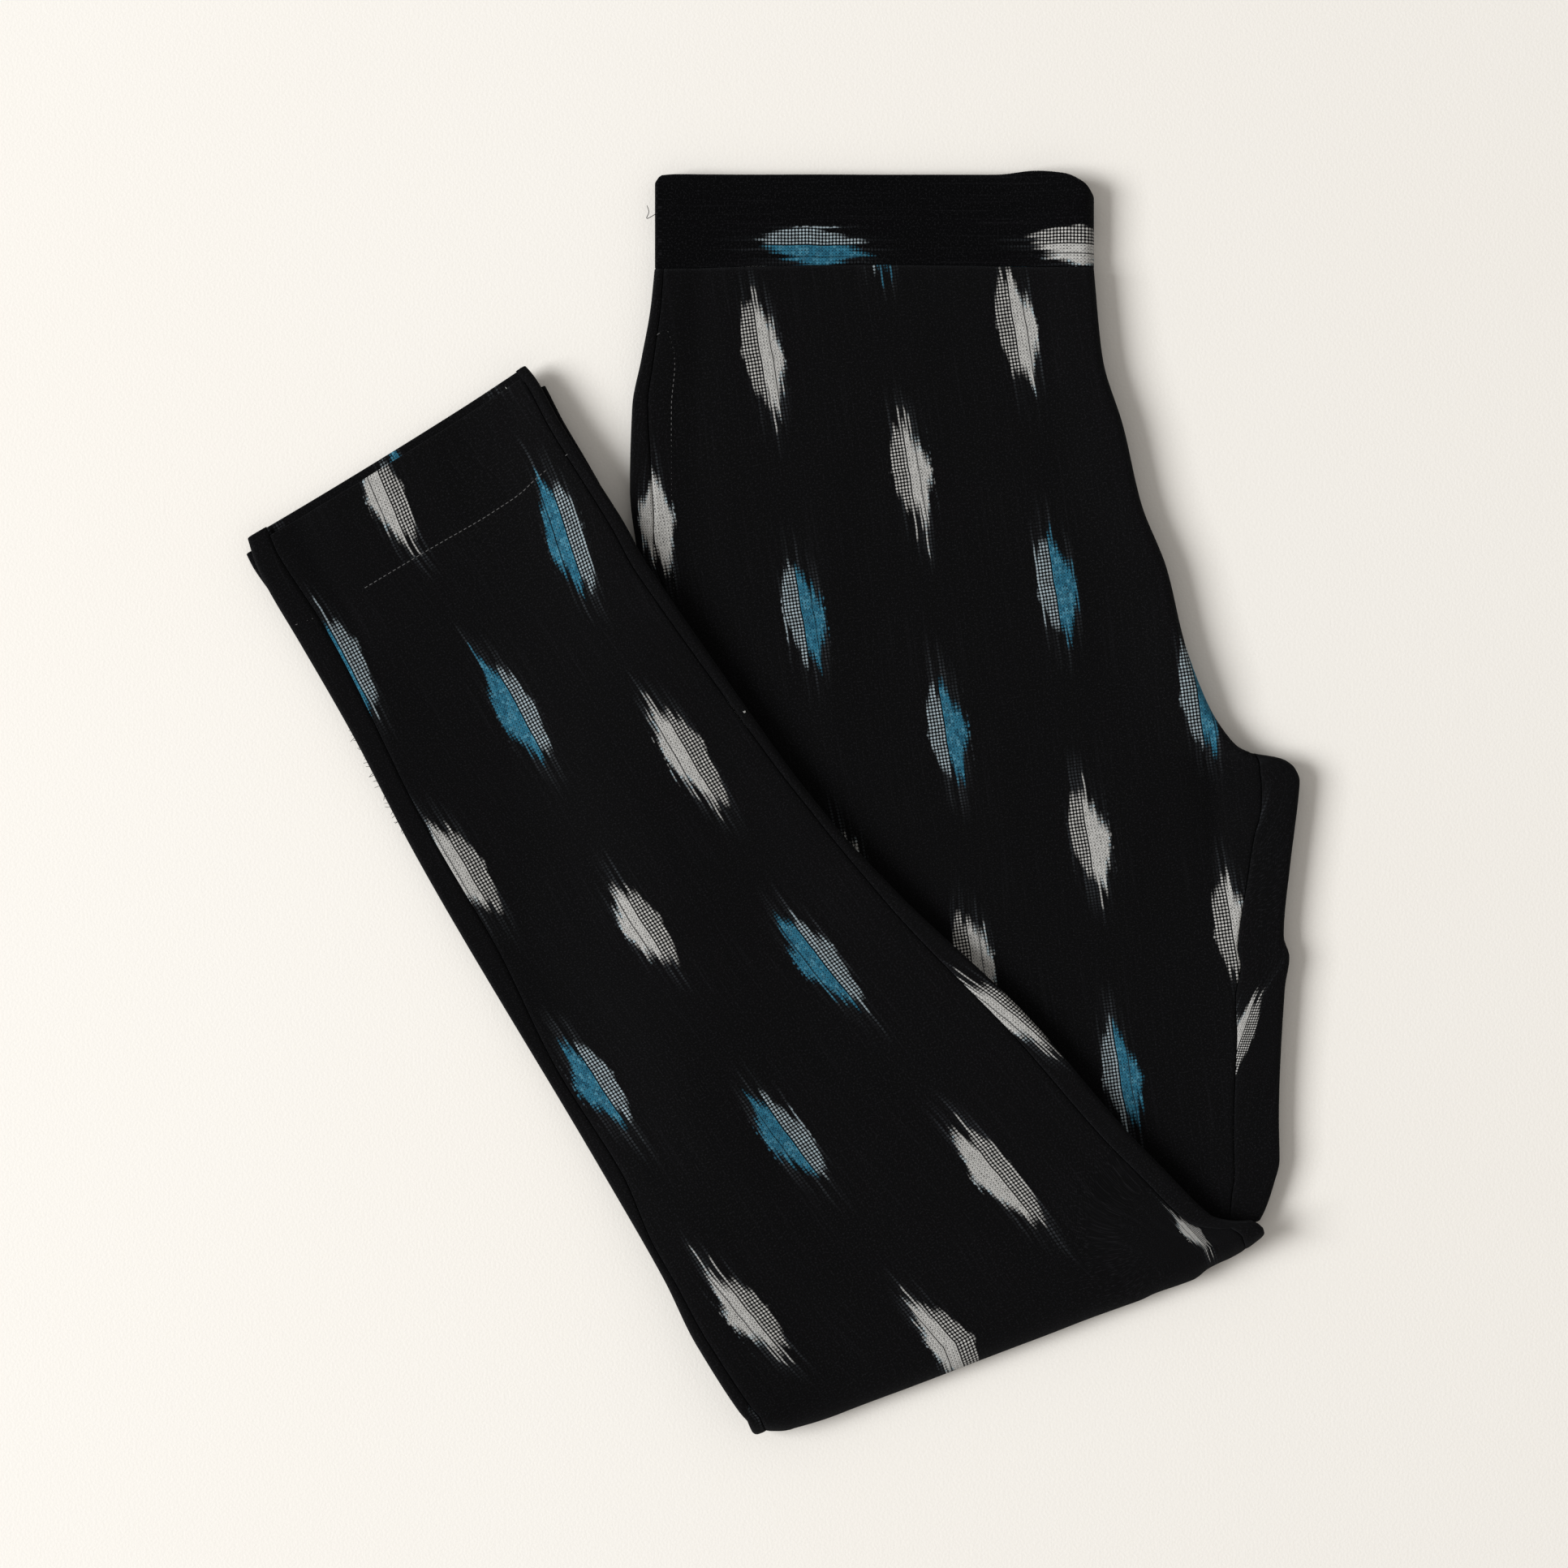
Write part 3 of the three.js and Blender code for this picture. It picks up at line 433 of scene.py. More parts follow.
def leg_surface(x, y):
    return crease_height(LEG_CREASES, x, y) + ripple(x, y, LEG_TURN + LEG_GRAIN)


# ---------- rings round the rungs of a stretch ----------
def rung_between(left, right, inset_left, inset_right, arch):
    """A rung whose ends lie in from the edges, along itself."""
    across = (right - left) / np.linalg.norm(right - left)
    return left + across * inset_left, right - across * inset_right, arch


THIGH_TOP = WAIST_Y - SEAM_GAP


def thigh_feet(foot_gap):
    """The y of the thigh's lower end, at its left and at its right."""
    left = KNEE_TIP[1] + (FOLD_AXIS_LEFT + foot_gap) * FOLD_INWARD[1]
    return left, KNEE_CORNER[1] + (FOLD_AXIS_RIGHT + foot_gap) * FOLD_INWARD[1]


def thigh_rung(t, inset, foot_gap):
    y_left, y_right = (mix(THIGH_TOP, foot, t) for foot in thigh_feet(foot_gap))
    left = np.array([thigh_left_x(y_left), y_left])
    right = np.array([thigh_right_x(y_right), y_right])
    return rung_between(left, right, inset, inset, WAIST_ARCH * (1 - ease(t / ARCH_SHARE)))


AXIS_LEFT_V = FOLD_AXIS_LEFT * float(FOLD_INWARD @ LEG_AXIS)
AXIS_RIGHT_V = leg_place(*KNEE_CORNER)[1] + FOLD_AXIS_RIGHT * float(FOLD_INWARD @ LEG_AXIS)


def leg_rung(t, inset_left, inset_right, short):
    at_hem = ease((t - (1 - HEM_BEND)) / HEM_BEND)
    v_left = mix(AXIS_LEFT_V, HEM_LEFT_V, t) - short[0] * at_hem
    v_right = mix(AXIS_RIGHT_V, HEM_RIGHT_V, t) - short[1] * at_hem
    left = leg_point(leg_left_u(v_left), v_left)
    right = leg_point(leg_right_u(v_right), v_right)
    return rung_between(left, right, inset_left(v_left), inset_right(v_right), -HEM_SAG * at_hem)


class Ring:
    """The flattened ring round one rung. An arc starts at the left edge, goes over the top to the right
    one, and comes back underneath."""

    def __init__(self, rung, layer, surface=None, fade=1.0):
        """layer gives the tube's heights, and surface, times fade, what its upper side adds."""
        self.left, self.right, self.arch = rung
        self.layer = layer
        self.surface = surface
        self.fade = fade
        self.width = float(np.linalg.norm(self.right - self.left))
        self.left_round = float(layer(*self.left)[1]) / 2
        self.right_round = float(layer(*self.right)[1]) / 2
        self.left_arc = self.left_round * math.pi / 2
        self.right_arc = self.right_round * math.pi / 2
        self.across = self.width - self.left_round - self.right_round + self.left_arc + self.right_arc

    def points(self, arcs, inward, lift=0.0):
        """Points at these arcs, moved into the tube by inward. lift raises the upper side."""
        loop = self.across * 2
        turn = np.mod(arcs, loop)
        below = turn > self.across
        arc = np.where(below, loop - turn, turn)
        from_right = self.across - arc
        at_left = arc < self.left_arc
        at_right = from_right < self.right_arc
        left_angle = np.where(at_left, arc / self.left_round, 0.0)
        right_angle = np.where(at_right, from_right / self.right_round, 0.0)
        aside = self.left_round + arc - self.left_arc
        aside = np.where(at_left, self.left_round - (self.left_round - inward) * np.cos(left_angle), aside)
        aside = np.where(at_right, self.width - self.right_round
                         + (self.right_round - inward) * np.cos(right_angle), aside)
        rise = np.where(at_left, np.sin(left_angle), np.where(at_right, np.sin(right_angle), 1.0))
        share = aside / self.width
        x = self.left[0] + (self.right[0] - self.left[0]) * share
        y = self.left[1] + (self.right[1] - self.left[1]) * share
        base, thick = self.layer(x, y)
        half = thick / 2 - inward
        z = base + thick / 2 + np.where(below, -1.0, 1.0) * half * rise
        raised = lift
        if self.surface is not None:
            raised = raised + self.fade * self.surface(x, y)
        z = z + np.where(below, 0.0, rise) * raised
        y = y + self.arch * np.sin(math.pi * np.clip(share, 0, 1))
        return np.stack([x, y, z], axis=-1)


def round_fold(points, angle):
    """Carries points over the axis of the knee fold and round it, from 0 on top to pi underneath."""
    offset = points[:, :2] - KNEE_TIP
    along = offset @ FOLD_DIRECTION
    base, thick = leg_tube(points[:, 0], points[:, 1])
    axis_z = (base + thick) / 2
    reach = fold_reach(along / FOLD_LENGTH)
    radius = points[:, 2] - axis_z
    outward = reach / axis_z * radius * math.sin(angle)
    plan = points[:, :2] - outward[:, None] * FOLD_INWARD
    return np.concatenate([plan, (axis_z + radius * math.cos(angle))[:, None]], axis=1)


FRONT_STEPS = (6, 96, 18)  # beside the side seam, across the panel, and beside the inseam
FRONT_SIDE = 3.0
FRONT_INNER = 12.0
BACK_STEPS = (10, 14, 40, 12, 6)  # strip at the right, turn, underneath, turn, strip at the left
BACK_LEAST_STRIP = 1.2
BACK_LEAST_TURN = 2.0
UNDER_COLUMNS = (6, 76, 8)


def stops(start, ends, steps):
    """Places along an arc, from start to each of the ends in so many steps."""
    places = [start]
    for end, count in zip(ends, steps):
        places += list(np.linspace(places[-1], end, count // FINE + 1)[1:])
    return np.array(places)


def seam_arc(inset, radius):
    return inset + (math.pi / 2 - 1) * max(-radius, min(inset, radius))


def front_arcs(ring, side_inset, inner_inset, gap):
    start = seam_arc(side_inset, ring.left_round) + SEAM_GAP / 2
    end = ring.across - seam_arc(inner_inset, ring.right_round) - gap / 2
    return stops(start, (start + FRONT_SIDE, end - FRONT_INNER, end), FRONT_STEPS)


def back_arcs(ring, side_inset, inner_inset, gap):
    start = ring.across - seam_arc(inner_inset, ring.right_round) + gap / 2
    edge = max(start + BACK_LEAST_STRIP, ring.across - ring.right_arc)
    under = max(edge + BACK_LEAST_TURN, ring.across + ring.right_arc)
    left_edge = ring.across * 2 - ring.left_arc
    end = ring.across * 2 + seam_arc(side_inset, ring.left_round) - SEAM_GAP / 2
    return stops(start, (edge, under, left_edge, left_edge + 2 * ring.left_arc, end), BACK_STEPS)


def seam_relief(arcs):
    """Beside its two seams a panel dips into the seam, and then lies on the seam's allowance."""
    distance = np.minimum(arcs - arcs[0], arcs[-1] - arcs)
    step = ALLOWANCE_RISE * (1 - ease((distance - ALLOWANCE) / ALLOWANCE_EDGE))
    return step - SEAM_DIP * np.exp(-((distance / SEAM_DIP_WIDTH) ** 2))


# ---------- the weave's own coordinates: millimetres across the warp, and along it to the hem ----------
REPEAT_ACROSS = 56.0
REPEAT_ALONG = 115.0
FIRST_MOTIF = (-5.7, 471.4)  # middle of a white motif on the right front
THIGH_LEAN = 0.157  # the warp there leans to the right on its way down
# Middles of the motifs that show on the right front, from the first one: (column, row, across, along).
THIGH_MOTIFS = (
    (0, 0, 0, 0), (2, 0, 111.7, 4.9), (1, 0, 56.5, 59.2), (-1, 0, -58.4, 62.6), (2, 2, 108.6, 230.9),
    (1, 2, 50, 276), (3, 2, 164.7, 281), (1, -1, 55.7, -50), (0, 1, 0.3, 115), (2, 1, 111.6, 119.9),
    (1, 1, 54.4, 175.6), (3, 1, 165.3, 178.7), (2, 3, 106.4, 336.5), (0, 2, 2, 230), (0, 3, 0, 345),
)
# The warp through the middle column of motifs there, as (v, u).
LEG_WARP = ((460, 105.5), (426, 102.7), (321, 94.5), (212, 86), (150, 83.5), (102, 83.5), (40, 86),
            (-13, 90.5), (-60, 96))
LEG_SKEW = 0.1
# Middles of the motifs that show on the left front: (column, row, u, v, lean, size). lean turns a motif's
# warp against the rest of the cloth's, and size is its share of the usual one.
LEG_MOTIFS = (
    (0, 4, 103, 432.5, 0.17, 1), (0, 3, 95, 320.9, 0.04, 1), (0, 2, 85.3, 212.3, 0, 1),
    (0, 1, 83.4, 102.5, 0, 1), (0, 0, 90.2, -13.4, 0, 1), (-1, 3, 156.6, 370.7, 0.23, 1),
    (-1, 2, 144.4, 261.7, 0, 1), (-1, 1, 139.3, 156.5, -0.06, 1), (-1, 0, 147.9, 37, 0, 1),
    (1, 3, 46.2, 383.9, 0.05, 1), (1, 2, 36.1, 277.8, 0, 1), (1, 1, 28.8, 169.7, 0, 1),
    (1, 0, 25.1, 48.2, 0, 1), (-2, 0, 202.5, -34.4, 0, 0.38),
)
HOLD = 10.0  # how far about its middle each motif keeps to its place
SHRUNK = 30.0  # and how far about it a smaller one draws the cloth together
leg_warp_u = table_curve(LEG_WARP)


def lattice_place(column, row):
    return REPEAT_ACROSS * column, REPEAT_ALONG * (row + 0.5 * (column % 2))


def settled(cloth, shown):
    """Shifts the cloth's coordinates so that each motif that shows is where it shows.
    shown holds (column, row, across, along, lean, size), in these coordinates."""
    weights = []
    shifts = []
    for column, row, across, along, lean, size in shown:
        aside = cloth[..., 0] - across
        ahead = cloth[..., 1] - along
        away = aside**2 + ahead**2
        weights.append((away + HOLD**2) ** -2.0)
        place = lattice_place(column, row)
        drawn = (1 / size - 1) * np.exp(-away / SHRUNK**2)
        shift_across = place[0] - across + lean * ahead + drawn * aside
        shift_along = place[1] - along + drawn * ahead
        shifts.append(np.stack([shift_across, shift_along], axis=-1))
    weights = np.array(weights) / np.sum(weights, axis=0)
    return cloth + np.sum(weights[..., None] * np.array(shifts), axis=0)


def thigh_plain(points):
    x = points[..., 0] - FIRST_MOTIF[0]
    y = points[..., 1] - FIRST_MOTIF[1]
    across = x * math.cos(THIGH_LEAN) + y * math.sin(THIGH_LEAN)
    along = x * math.sin(THIGH_LEAN) - y * math.cos(THIGH_LEAN)
    return np.stack([across, along], axis=-1)


def leg_plain(points):
    u, v = leg_place(points[..., 0], points[..., 1])
    aside = u - leg_warp_u(v)
    return np.stack([-aside, v + LEG_SKEW * aside], axis=-1)


THIGH_SHOWN = [(*motif, 0, 1) for motif in THIGH_MOTIFS]
LEG_SHOWN = [(column, row, *leg_plain(leg_point(u, v)), lean, size)
             for column, row, u, v, lean, size in LEG_MOTIFS]


def thigh_cloth(points):
    return settled(thigh_plain(points), THIGH_SHOWN)


def leg_cloth(points):
    return settled(leg_plain(points), LEG_SHOWN)


# ---------- meshes ----------
def make_mesh(node, outer, inner, cloth, closed, material, slot):
    """A wall of cloth from two grids of points, as one closed mesh that stands for a node."""
    rows, columns = outer.shape[:2]
    outer_part = (outer.reshape(-1, 3) - [*MIDDLE, 0]) * MM
    inner_part = (inner.reshape(-1, 3) - [*MIDDLE, 0]) * MM
    count = rows * columns
    index = np.arange(count).reshape(rows, columns)
    beside = np.roll(index, -1, axis=1) if closed else index[:, 1:]
    here = index if closed else index[:, :-1]
    outer_faces = np.stack([here[:-1], beside[:-1], beside[1:], here[1:]], axis=-1).reshape(-1, 4)
    inner_faces = outer_faces[:, ::-1] + count
    rim = [
        np.stack([here[0], here[0] + count, beside[0] + count, beside[0]], axis=-1),
        np.stack([here[-1], beside[-1], beside[-1] + count, here[-1] + count], axis=-1),
    ]
    if not closed:
        first = index[:, 0]
        last = index[:, -1]
        rim.append(np.stack([first[:-1], first[1:], first[1:] + count, first[:-1] + count], axis=-1))
        rim.append(np.stack([last[:-1], last[:-1] + count, last[1:] + count, last[1:]], axis=-1))
    faces = np.concatenate([outer_faces, inner_faces, *rim])
    mesh = bpy.data.meshes.new(node + "_cloth")
    mesh.from_pydata(np.concatenate([outer_part, inner_part]).tolist(), [], faces.tolist())
    corners = np.empty(len(mesh.loops), dtype=np.int32)
    mesh.loops.foreach_get("vertex_index", corners)
    places = np.concatenate([cloth.reshape(-1, 2)] * 2) * MM
    layer = mesh.uv_layers.new(name="cloth")
    layer.data.foreach_set("uv", places[corners].astype(np.float32).ravel())
    mesh.validate()
    piece = add_piece(mesh, material, slot)
    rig.replaces(piece, node)
    return piece


def signed_volume(mesh):
    mesh.calc_loop_triangles()
    place = np.empty(len(mesh.vertices) * 3)
    mesh.vertices.foreach_get("co", place)
    place = place.reshape(-1, 3)
    corner = np.empty(len(mesh.loop_triangles) * 3, dtype=np.int32)
    mesh.loop_triangles.foreach_get("vertices", corner)
    a, b, c = (place[corner[i::3]] for i in range(3))
    return float(np.einsum("ij,ij->i", a, np.cross(b, c)).sum()) / 6


def add_piece(mesh, material, slot):
    """Makes a closed mesh a piece, under the mesh's name."""
    mesh.polygons.foreach_set("use_smooth", np.ones(len(mesh.polygons), bool))
    if signed_volume(mesh) < 0:
        mesh.flip_normals()
    mesh.materials.append(material)
    piece = bpy.data.objects.new(mesh.name, mesh)
    bpy.context.collection.objects.link(piece)
    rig.ride(piece, "root")
    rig.slot(piece, slot)
    return piece


# ---------- rows of a tube ----------
RIM_ANGLES = (1.0, 0.667, 0.333, 0.0)  # shares of a quarter turn, from the very end of a folded edge


def tube_row(ring, arcs, thickness, angle=None, rim=0.0, lift=0.0):
    """Outer and inner points of a row. rim is 1 at the very end of a folded edge, where the wall closes."""
    half = thickness / 2
    open_share = math.cos(rim * math.pi / 2)
    outer = ring.points(arcs, half * (1 - open_share), lift)
    inner = ring.points(arcs, half * (1 + open_share), lift)
    if angle is None:
        return outer, inner
    return round_fold(outer, angle), round_fold(inner, angle)


def rims(wall, length):
    """(share of the length, share of the closing) of the rows that round off the far end of a wall."""
    return [(1 - wall / 2 * (1 - math.sin(share * math.pi / 2)) / length, share) for share in RIM_ANGLES]


def flat_points(ring, arcs):
    """Where the points of a row would lie if the cloth ran on flat past the edges."""
    aside = ring.left_round - ring.left_arc + arcs
    direction = (ring.right - ring.left) / ring.width
    return ring.left + aside[:, None] * direction


def stack(rows):
    return (np.array([row[i] for row in rows]) for i in range(3))


# ---------- the right leg's panels on the thigh ----------
THIGH_STEPS = 190
CROTCH = (303.0, 286.0)  # between these y the outline turns fast, so the rows lie closer
CROTCH_STEPS = 24
CROTCH_GAP = 0.002  # share of the thigh left free between the even rows and those
# Middles of the motifs that show on the right back's strips: (column, row, across from the panel's middle,
# -y, lean, size).
THIGH_BACK_MOTIFS = ((2, 0, 147, -173, -0.28, 0.7), (2, -1, 100, -300, 0, 1),
                     (-2, -2, -124, -399.7, 0, 0.75))


def thigh_rows():
    """Shares of the way down the thigh, closer together at the crotch."""
    length = THIGH_TOP - thigh_feet(THIGH_FOOT_GAP)[1]
    first, last = ((THIGH_TOP - y) / length for y in CROTCH)
    even = np.linspace(0, 1, THIGH_STEPS // FINE + 1)
    even = even[(even < first - CROTCH_GAP) | (even > last + CROTCH_GAP)]
    return np.sort(np.concatenate([even, np.linspace(first, last, CROTCH_STEPS // FINE + 1)]))


def thigh_panel(name, columns_of, cloth_of, material):
    rows = []
    for t in thigh_rows():
        ring = Ring(thigh_rung(t, 0.0, THIGH_FOOT_GAP), thigh_tube, thigh_surface)
        y = ring.right[1]
        seam_x = [float(thigh_right_x(at) - thigh_inseam_inset(at)) for at in (y - 1, y + 1)]
        gap = SEAM_GAP * math.hypot(1, (seam_x[1] - seam_x[0]) / 2)
        arcs = columns_of(ring, float(thigh_side_inset(ring.left[1])), float(thigh_inseam_inset(y)), gap)
        outer, inner = tube_row(ring, arcs, CLOTH, lift=seam_relief(arcs))
        rows.append((outer, inner, cloth_of(ring, arcs, outer)))
    return make_mesh(name, *stack(rows), False, material, "thigh_cloth")


def thigh_front_cloth(ring, arcs, outer):
    return thigh_cloth(flat_points(ring, arcs))


def thigh_back_cloth(ring, arcs, outer):
    return settled(np.stack([1.5 * ring.across - arcs, -outer[:, 1]], axis=-1), THIGH_BACK_MOTIFS)


# ---------- the left leg's panels over the lower leg ----------
LEG_STEPS_DOWN = 176
FOLD_STEPS = 26
HEM_RIDGE = 0.3  # the step that the turned-up hem shows on the face
HEM_EDGE = 2.0
LEG_LENGTH = HEM_LEFT_V - AXIS_LEFT_V
# Middles of motifs on the left back, the first of which shows: (column, row, across from its middle, v,
# lean, size).
LEG_BACK_MOTIFS = ((1, 0, 105, 88.9, 0, 1), (1, -1, 82, -26, 0, 1), (1, 1, 125, 204, 0, 1),
                   (-1, 3, -1, 418, 0, 1))


def leg_panel(name, columns_of, cloth_of, short, material):
    hem_rims = rims(CLOTH + HEM_EXTRA, LEG_LENGTH)
    places = [(t, share, None) for t, share in hem_rims]
    places += [(t, 0.0, None) for t in np.linspace(hem_rims[-1][0], 0, LEG_STEPS_DOWN // FINE + 1)[1:-1]]
    places += [(0.0, 0.0, angle) for angle in np.linspace(0, math.pi, FOLD_STEPS // FINE + 1)]
    rows = []
    for t, rim, angle in places:
        fade = 1.0 if angle is None else 1 - ease(angle / math.pi)
        ring = Ring(leg_rung(t, nothing, nothing, short), leg_tube, leg_surface, fade)
        left_v = float(leg_place(*ring.left)[1])
        right_v = float(leg_place(*ring.right)[1])
        to_hem = (1 - t) * LEG_LENGTH
        turned_up = 1 - ease((to_hem - HEM_DEPTH) / HEM_EDGE)
        arcs = columns_of(ring, float(leg_side_inset(left_v)), float(leg_inseam_inset(right_v)), SEAM_GAP)
        lift = (seam_relief(arcs) + HEM_RIDGE * turned_up) * fade
        outer, inner = tube_row(ring, arcs, CLOTH + HEM_EXTRA * turned_up, angle, rim, lift)
        cloth = cloth_of(ring, arcs)
        if angle:
            cloth[:, 1] = rows[-1][2][:, 1] - np.linalg.norm(outer - rows[-1][0], axis=1)
        rows.append((outer, inner, cloth))
    return make_mesh(name, *stack(rows), False, material, "leg_cloth")


def nothing(v):
    return 0.0


def leg_front_cloth(ring, arcs):
    return leg_cloth(flat_points(ring, arcs))


def leg_back_cloth(ring, arcs):
    points = flat_points(ring, np.minimum(arcs, ring.across))
    along = leg_place(points[:, 0], points[:, 1])[1]
    return settled(np.stack([1.5 * ring.across - arcs, along], axis=-1), LEG_BACK_MOTIFS)


# ---------- the layers underneath ----------
UNDER_STEPS = 110
UNDER_WARP = 12.0  # how far round the weave's count starts


def hidden_layers(material):
    """One run of the hidden stretches: the right lower leg, the turn at the knee, and the left thigh."""
    rows = []

    def add(ring, turned, angle=None, rim=0.0):
        upper = stops(0, (ring.left_arc, ring.across - ring.right_arc, ring.across), UNDER_COLUMNS)
        arcs = np.concatenate([upper, 2 * ring.across - upper[-2:0:-1]])
        if turned:
            arcs = 2 * ring.across - arcs
        outer, inner = tube_row(ring, arcs, CLOTH, angle, rim)
        along = 0.0
        if rows:
            along = rows[-1][2][0, 1] - float(np.linalg.norm(outer - rows[-1][0], axis=1).mean())
        rows.append((outer, inner, np.stack([arcs + UNDER_WARP, np.full(len(arcs), along)], axis=-1)))

    def leg_ring(t):
        return Ring(leg_rung(t, under_leg_left, under_leg_right, UNDER_HEM_SHORT), leg_slab)

    hem_rims = rims(CLOTH, LEG_LENGTH)
    for t, rim in hem_rims:
        add(leg_ring(t), False, rim=rim)
    for t in np.linspace(hem_rims[-1][0], 0, UNDER_STEPS // FINE + 1)[1:-1]:
        add(leg_ring(t), False)
    for angle in np.linspace(0, math.pi, FOLD_STEPS // FINE + 1):
        add(leg_ring(0), False, angle)
    for t in np.linspace(1, 0, UNDER_STEPS // FINE + 1):
        add(Ring(thigh_rung(t, UNDER_THIGH_INSET, UNDER_FOOT_GAP), thigh_slab), True)
    return make_mesh("hidden_layers", *stack(rows), True, material, "under_cloth")


# ---------- the waistband ----------
BAND_LEFT = -52.0
BAND_RIGHT = 140.5
# The height of the middle of each of the band's layers, and how much it rises at the left and right edges.
BAND_LAYERS = {
    "left_front": {"height": 0.7, "at_left": 0.0, "at_right": 0.0},
    "left_back": {"height": 2.5, "at_left": 0.8, "at_right": 1.24},
    "right_back": {"height": 4.6, "at_left": 1.3, "at_right": 3.1},
    "right_front": {"height": 6.7, "at_left": 1.7, "at_right": 6.2},
}
BAND_ROLL_REACH = 5.0  # how far each of the loop's turns reaches out
BAND_INSIDE_REACH = 2.4
BAND_FOLD_REACH = 1.3
BAND_INSIDE_GAP = 4.0
BAND_TURN_STEPS = 10
BAND_STEPS = 22
BAND_TOP_START = 5.5  # height over which the loop is the band's top layer
BAND_TOP_CORNER = ((-52, 3.5), (-49, 0.5), (-42, 0), (98, 0), (114, -1.4), (127, 0), (136, 4.5),
                   (140.5, 10))
BAND_MOTIF = (18.5, 521.1)  # middle of the blue motif on the band, whose dark line runs along the band
BAND_BREAK = 0.6  # share of the way round where the weave's count starts again, out of sight
BAND_LOOP_STEP = 2.0
band_drop = table_curve(BAND_TOP_CORNER)


def band_height(layer, x):
    sizes = BAND_LAYERS[layer]
    half = BAND_WALL / 2
    from_left = x - BAND_LEFT - half
    from_right = BAND_RIGHT - half - x
    rise = sizes["at_left"] * bump(from_left, LOFT_WIDTH) + sizes["at_right"] * bump(from_right, LOFT_WIDTH)
    return sizes["height"] + rise


def band_loop():
    """The band's section, (x, z) all the way round: over the top, down at the centre front and back."""
    left_turn = BAND_LEFT + BAND_WALL / 2 + BAND_FOLD_REACH
    right_turn = BAND_RIGHT - BAND_WALL / 2 - BAND_ROLL_REACH
    inside_turn = right_turn - BAND_INSIDE_GAP

    def run(layer, start, end):
        steps = max(4, int(abs(end - start) / BAND_LOOP_STEP / FINE))
        x = mix(start, end, (np.arange(steps) + 0.5) / steps)
        return np.stack([x, band_height(layer, x)], axis=-1)

    def turn(x, upper, lower, reach, side, steps):
        angle = np.linspace(0, math.pi, steps + 1)
        middle = (band_height(upper, x) + band_height(lower, x)) / 2
        radius = (band_height(upper, x) - band_height(lower, x)) / 2
        return np.stack([x + side * reach * np.sin(angle), middle + radius * np.cos(angle)], axis=-1)

    return np.concatenate([
        run("right_front", left_turn, right_turn),
        turn(right_turn, "right_front", "left_front", BAND_ROLL_REACH, 1, BAND_TURN_STEPS * 2),
        run("left_front", right_turn, left_turn),
        turn(left_turn, "left_front", "left_back", BAND_FOLD_REACH, -1, BAND_TURN_STEPS),
        run("left_back", left_turn, inside_turn),
        turn(inside_turn, "left_back", "right_back", BAND_INSIDE_REACH, 1, BAND_TURN_STEPS),
        run("right_back", inside_turn, left_turn),
        turn(left_turn, "right_back", "right_front", BAND_FOLD_REACH, -1, BAND_TURN_STEPS),
    ])


def band_surface(x, y, on_top):
    return waves(BAND_RIPPLES, x, y) * on_top


def waistband(material):
    loop = band_loop()
    direction = np.roll(loop, -1, axis=0) - np.roll(loop, 1, axis=0)
    direction /= np.linalg.norm(direction, axis=1)[:, None]
    normal = np.stack([-direction[:, 1], direction[:, 0]], axis=-1)
    run_length = run_lengths(loop)
    around = run_length[-1]
    run_length = np.where(run_length > BAND_BREAK * around, run_length - around, run_length)
    warp = run_length - (BAND_MOTIF[0] - loop[0, 0]) + REPEAT_ALONG
    on_top = ease(loop[:, 1] - BAND_TOP_START) * (direction[:, 0] > 0)
    top_rims = rims(BAND_WALL, BAND_TOP_Y - WAIST_Y)
    last = top_rims[-1][0]
    places = [(1 - place, share) for place, share in top_rims]
    places += [(place, 0.0) for place in np.linspace(1 - last, last, BAND_STEPS // FINE + 1)[1:-1]]
    places += reversed(top_rims)
    rows = []
    for place, rim in places:
        closing = BAND_WALL / 2 * math.cos(rim * math.pi / 2)
        sides = []
        for distance in (closing, -closing):
            x = loop[:, 0] + normal[:, 0] * distance
            z = loop[:, 1] + normal[:, 1] * distance
            share = np.clip((x - BAND_LEFT) / (BAND_RIGHT - BAND_LEFT), 0, 1)
            seam_y = WAIST_Y + WAIST_ARCH * np.sin(math.pi * share)
            y = mix(seam_y, BAND_TOP_Y - band_drop(x), place)
            sides.append(np.stack([x, y, z + band_surface(x, y, on_top)], axis=-1))
        cloth = np.stack([BAND_MOTIF[1] - sides[0][:, 1], warp], axis=-1)
        rows.append((sides[0], sides[1], cloth))
    return make_mesh("waistband", *stack(rows), True, material, "band_cloth")


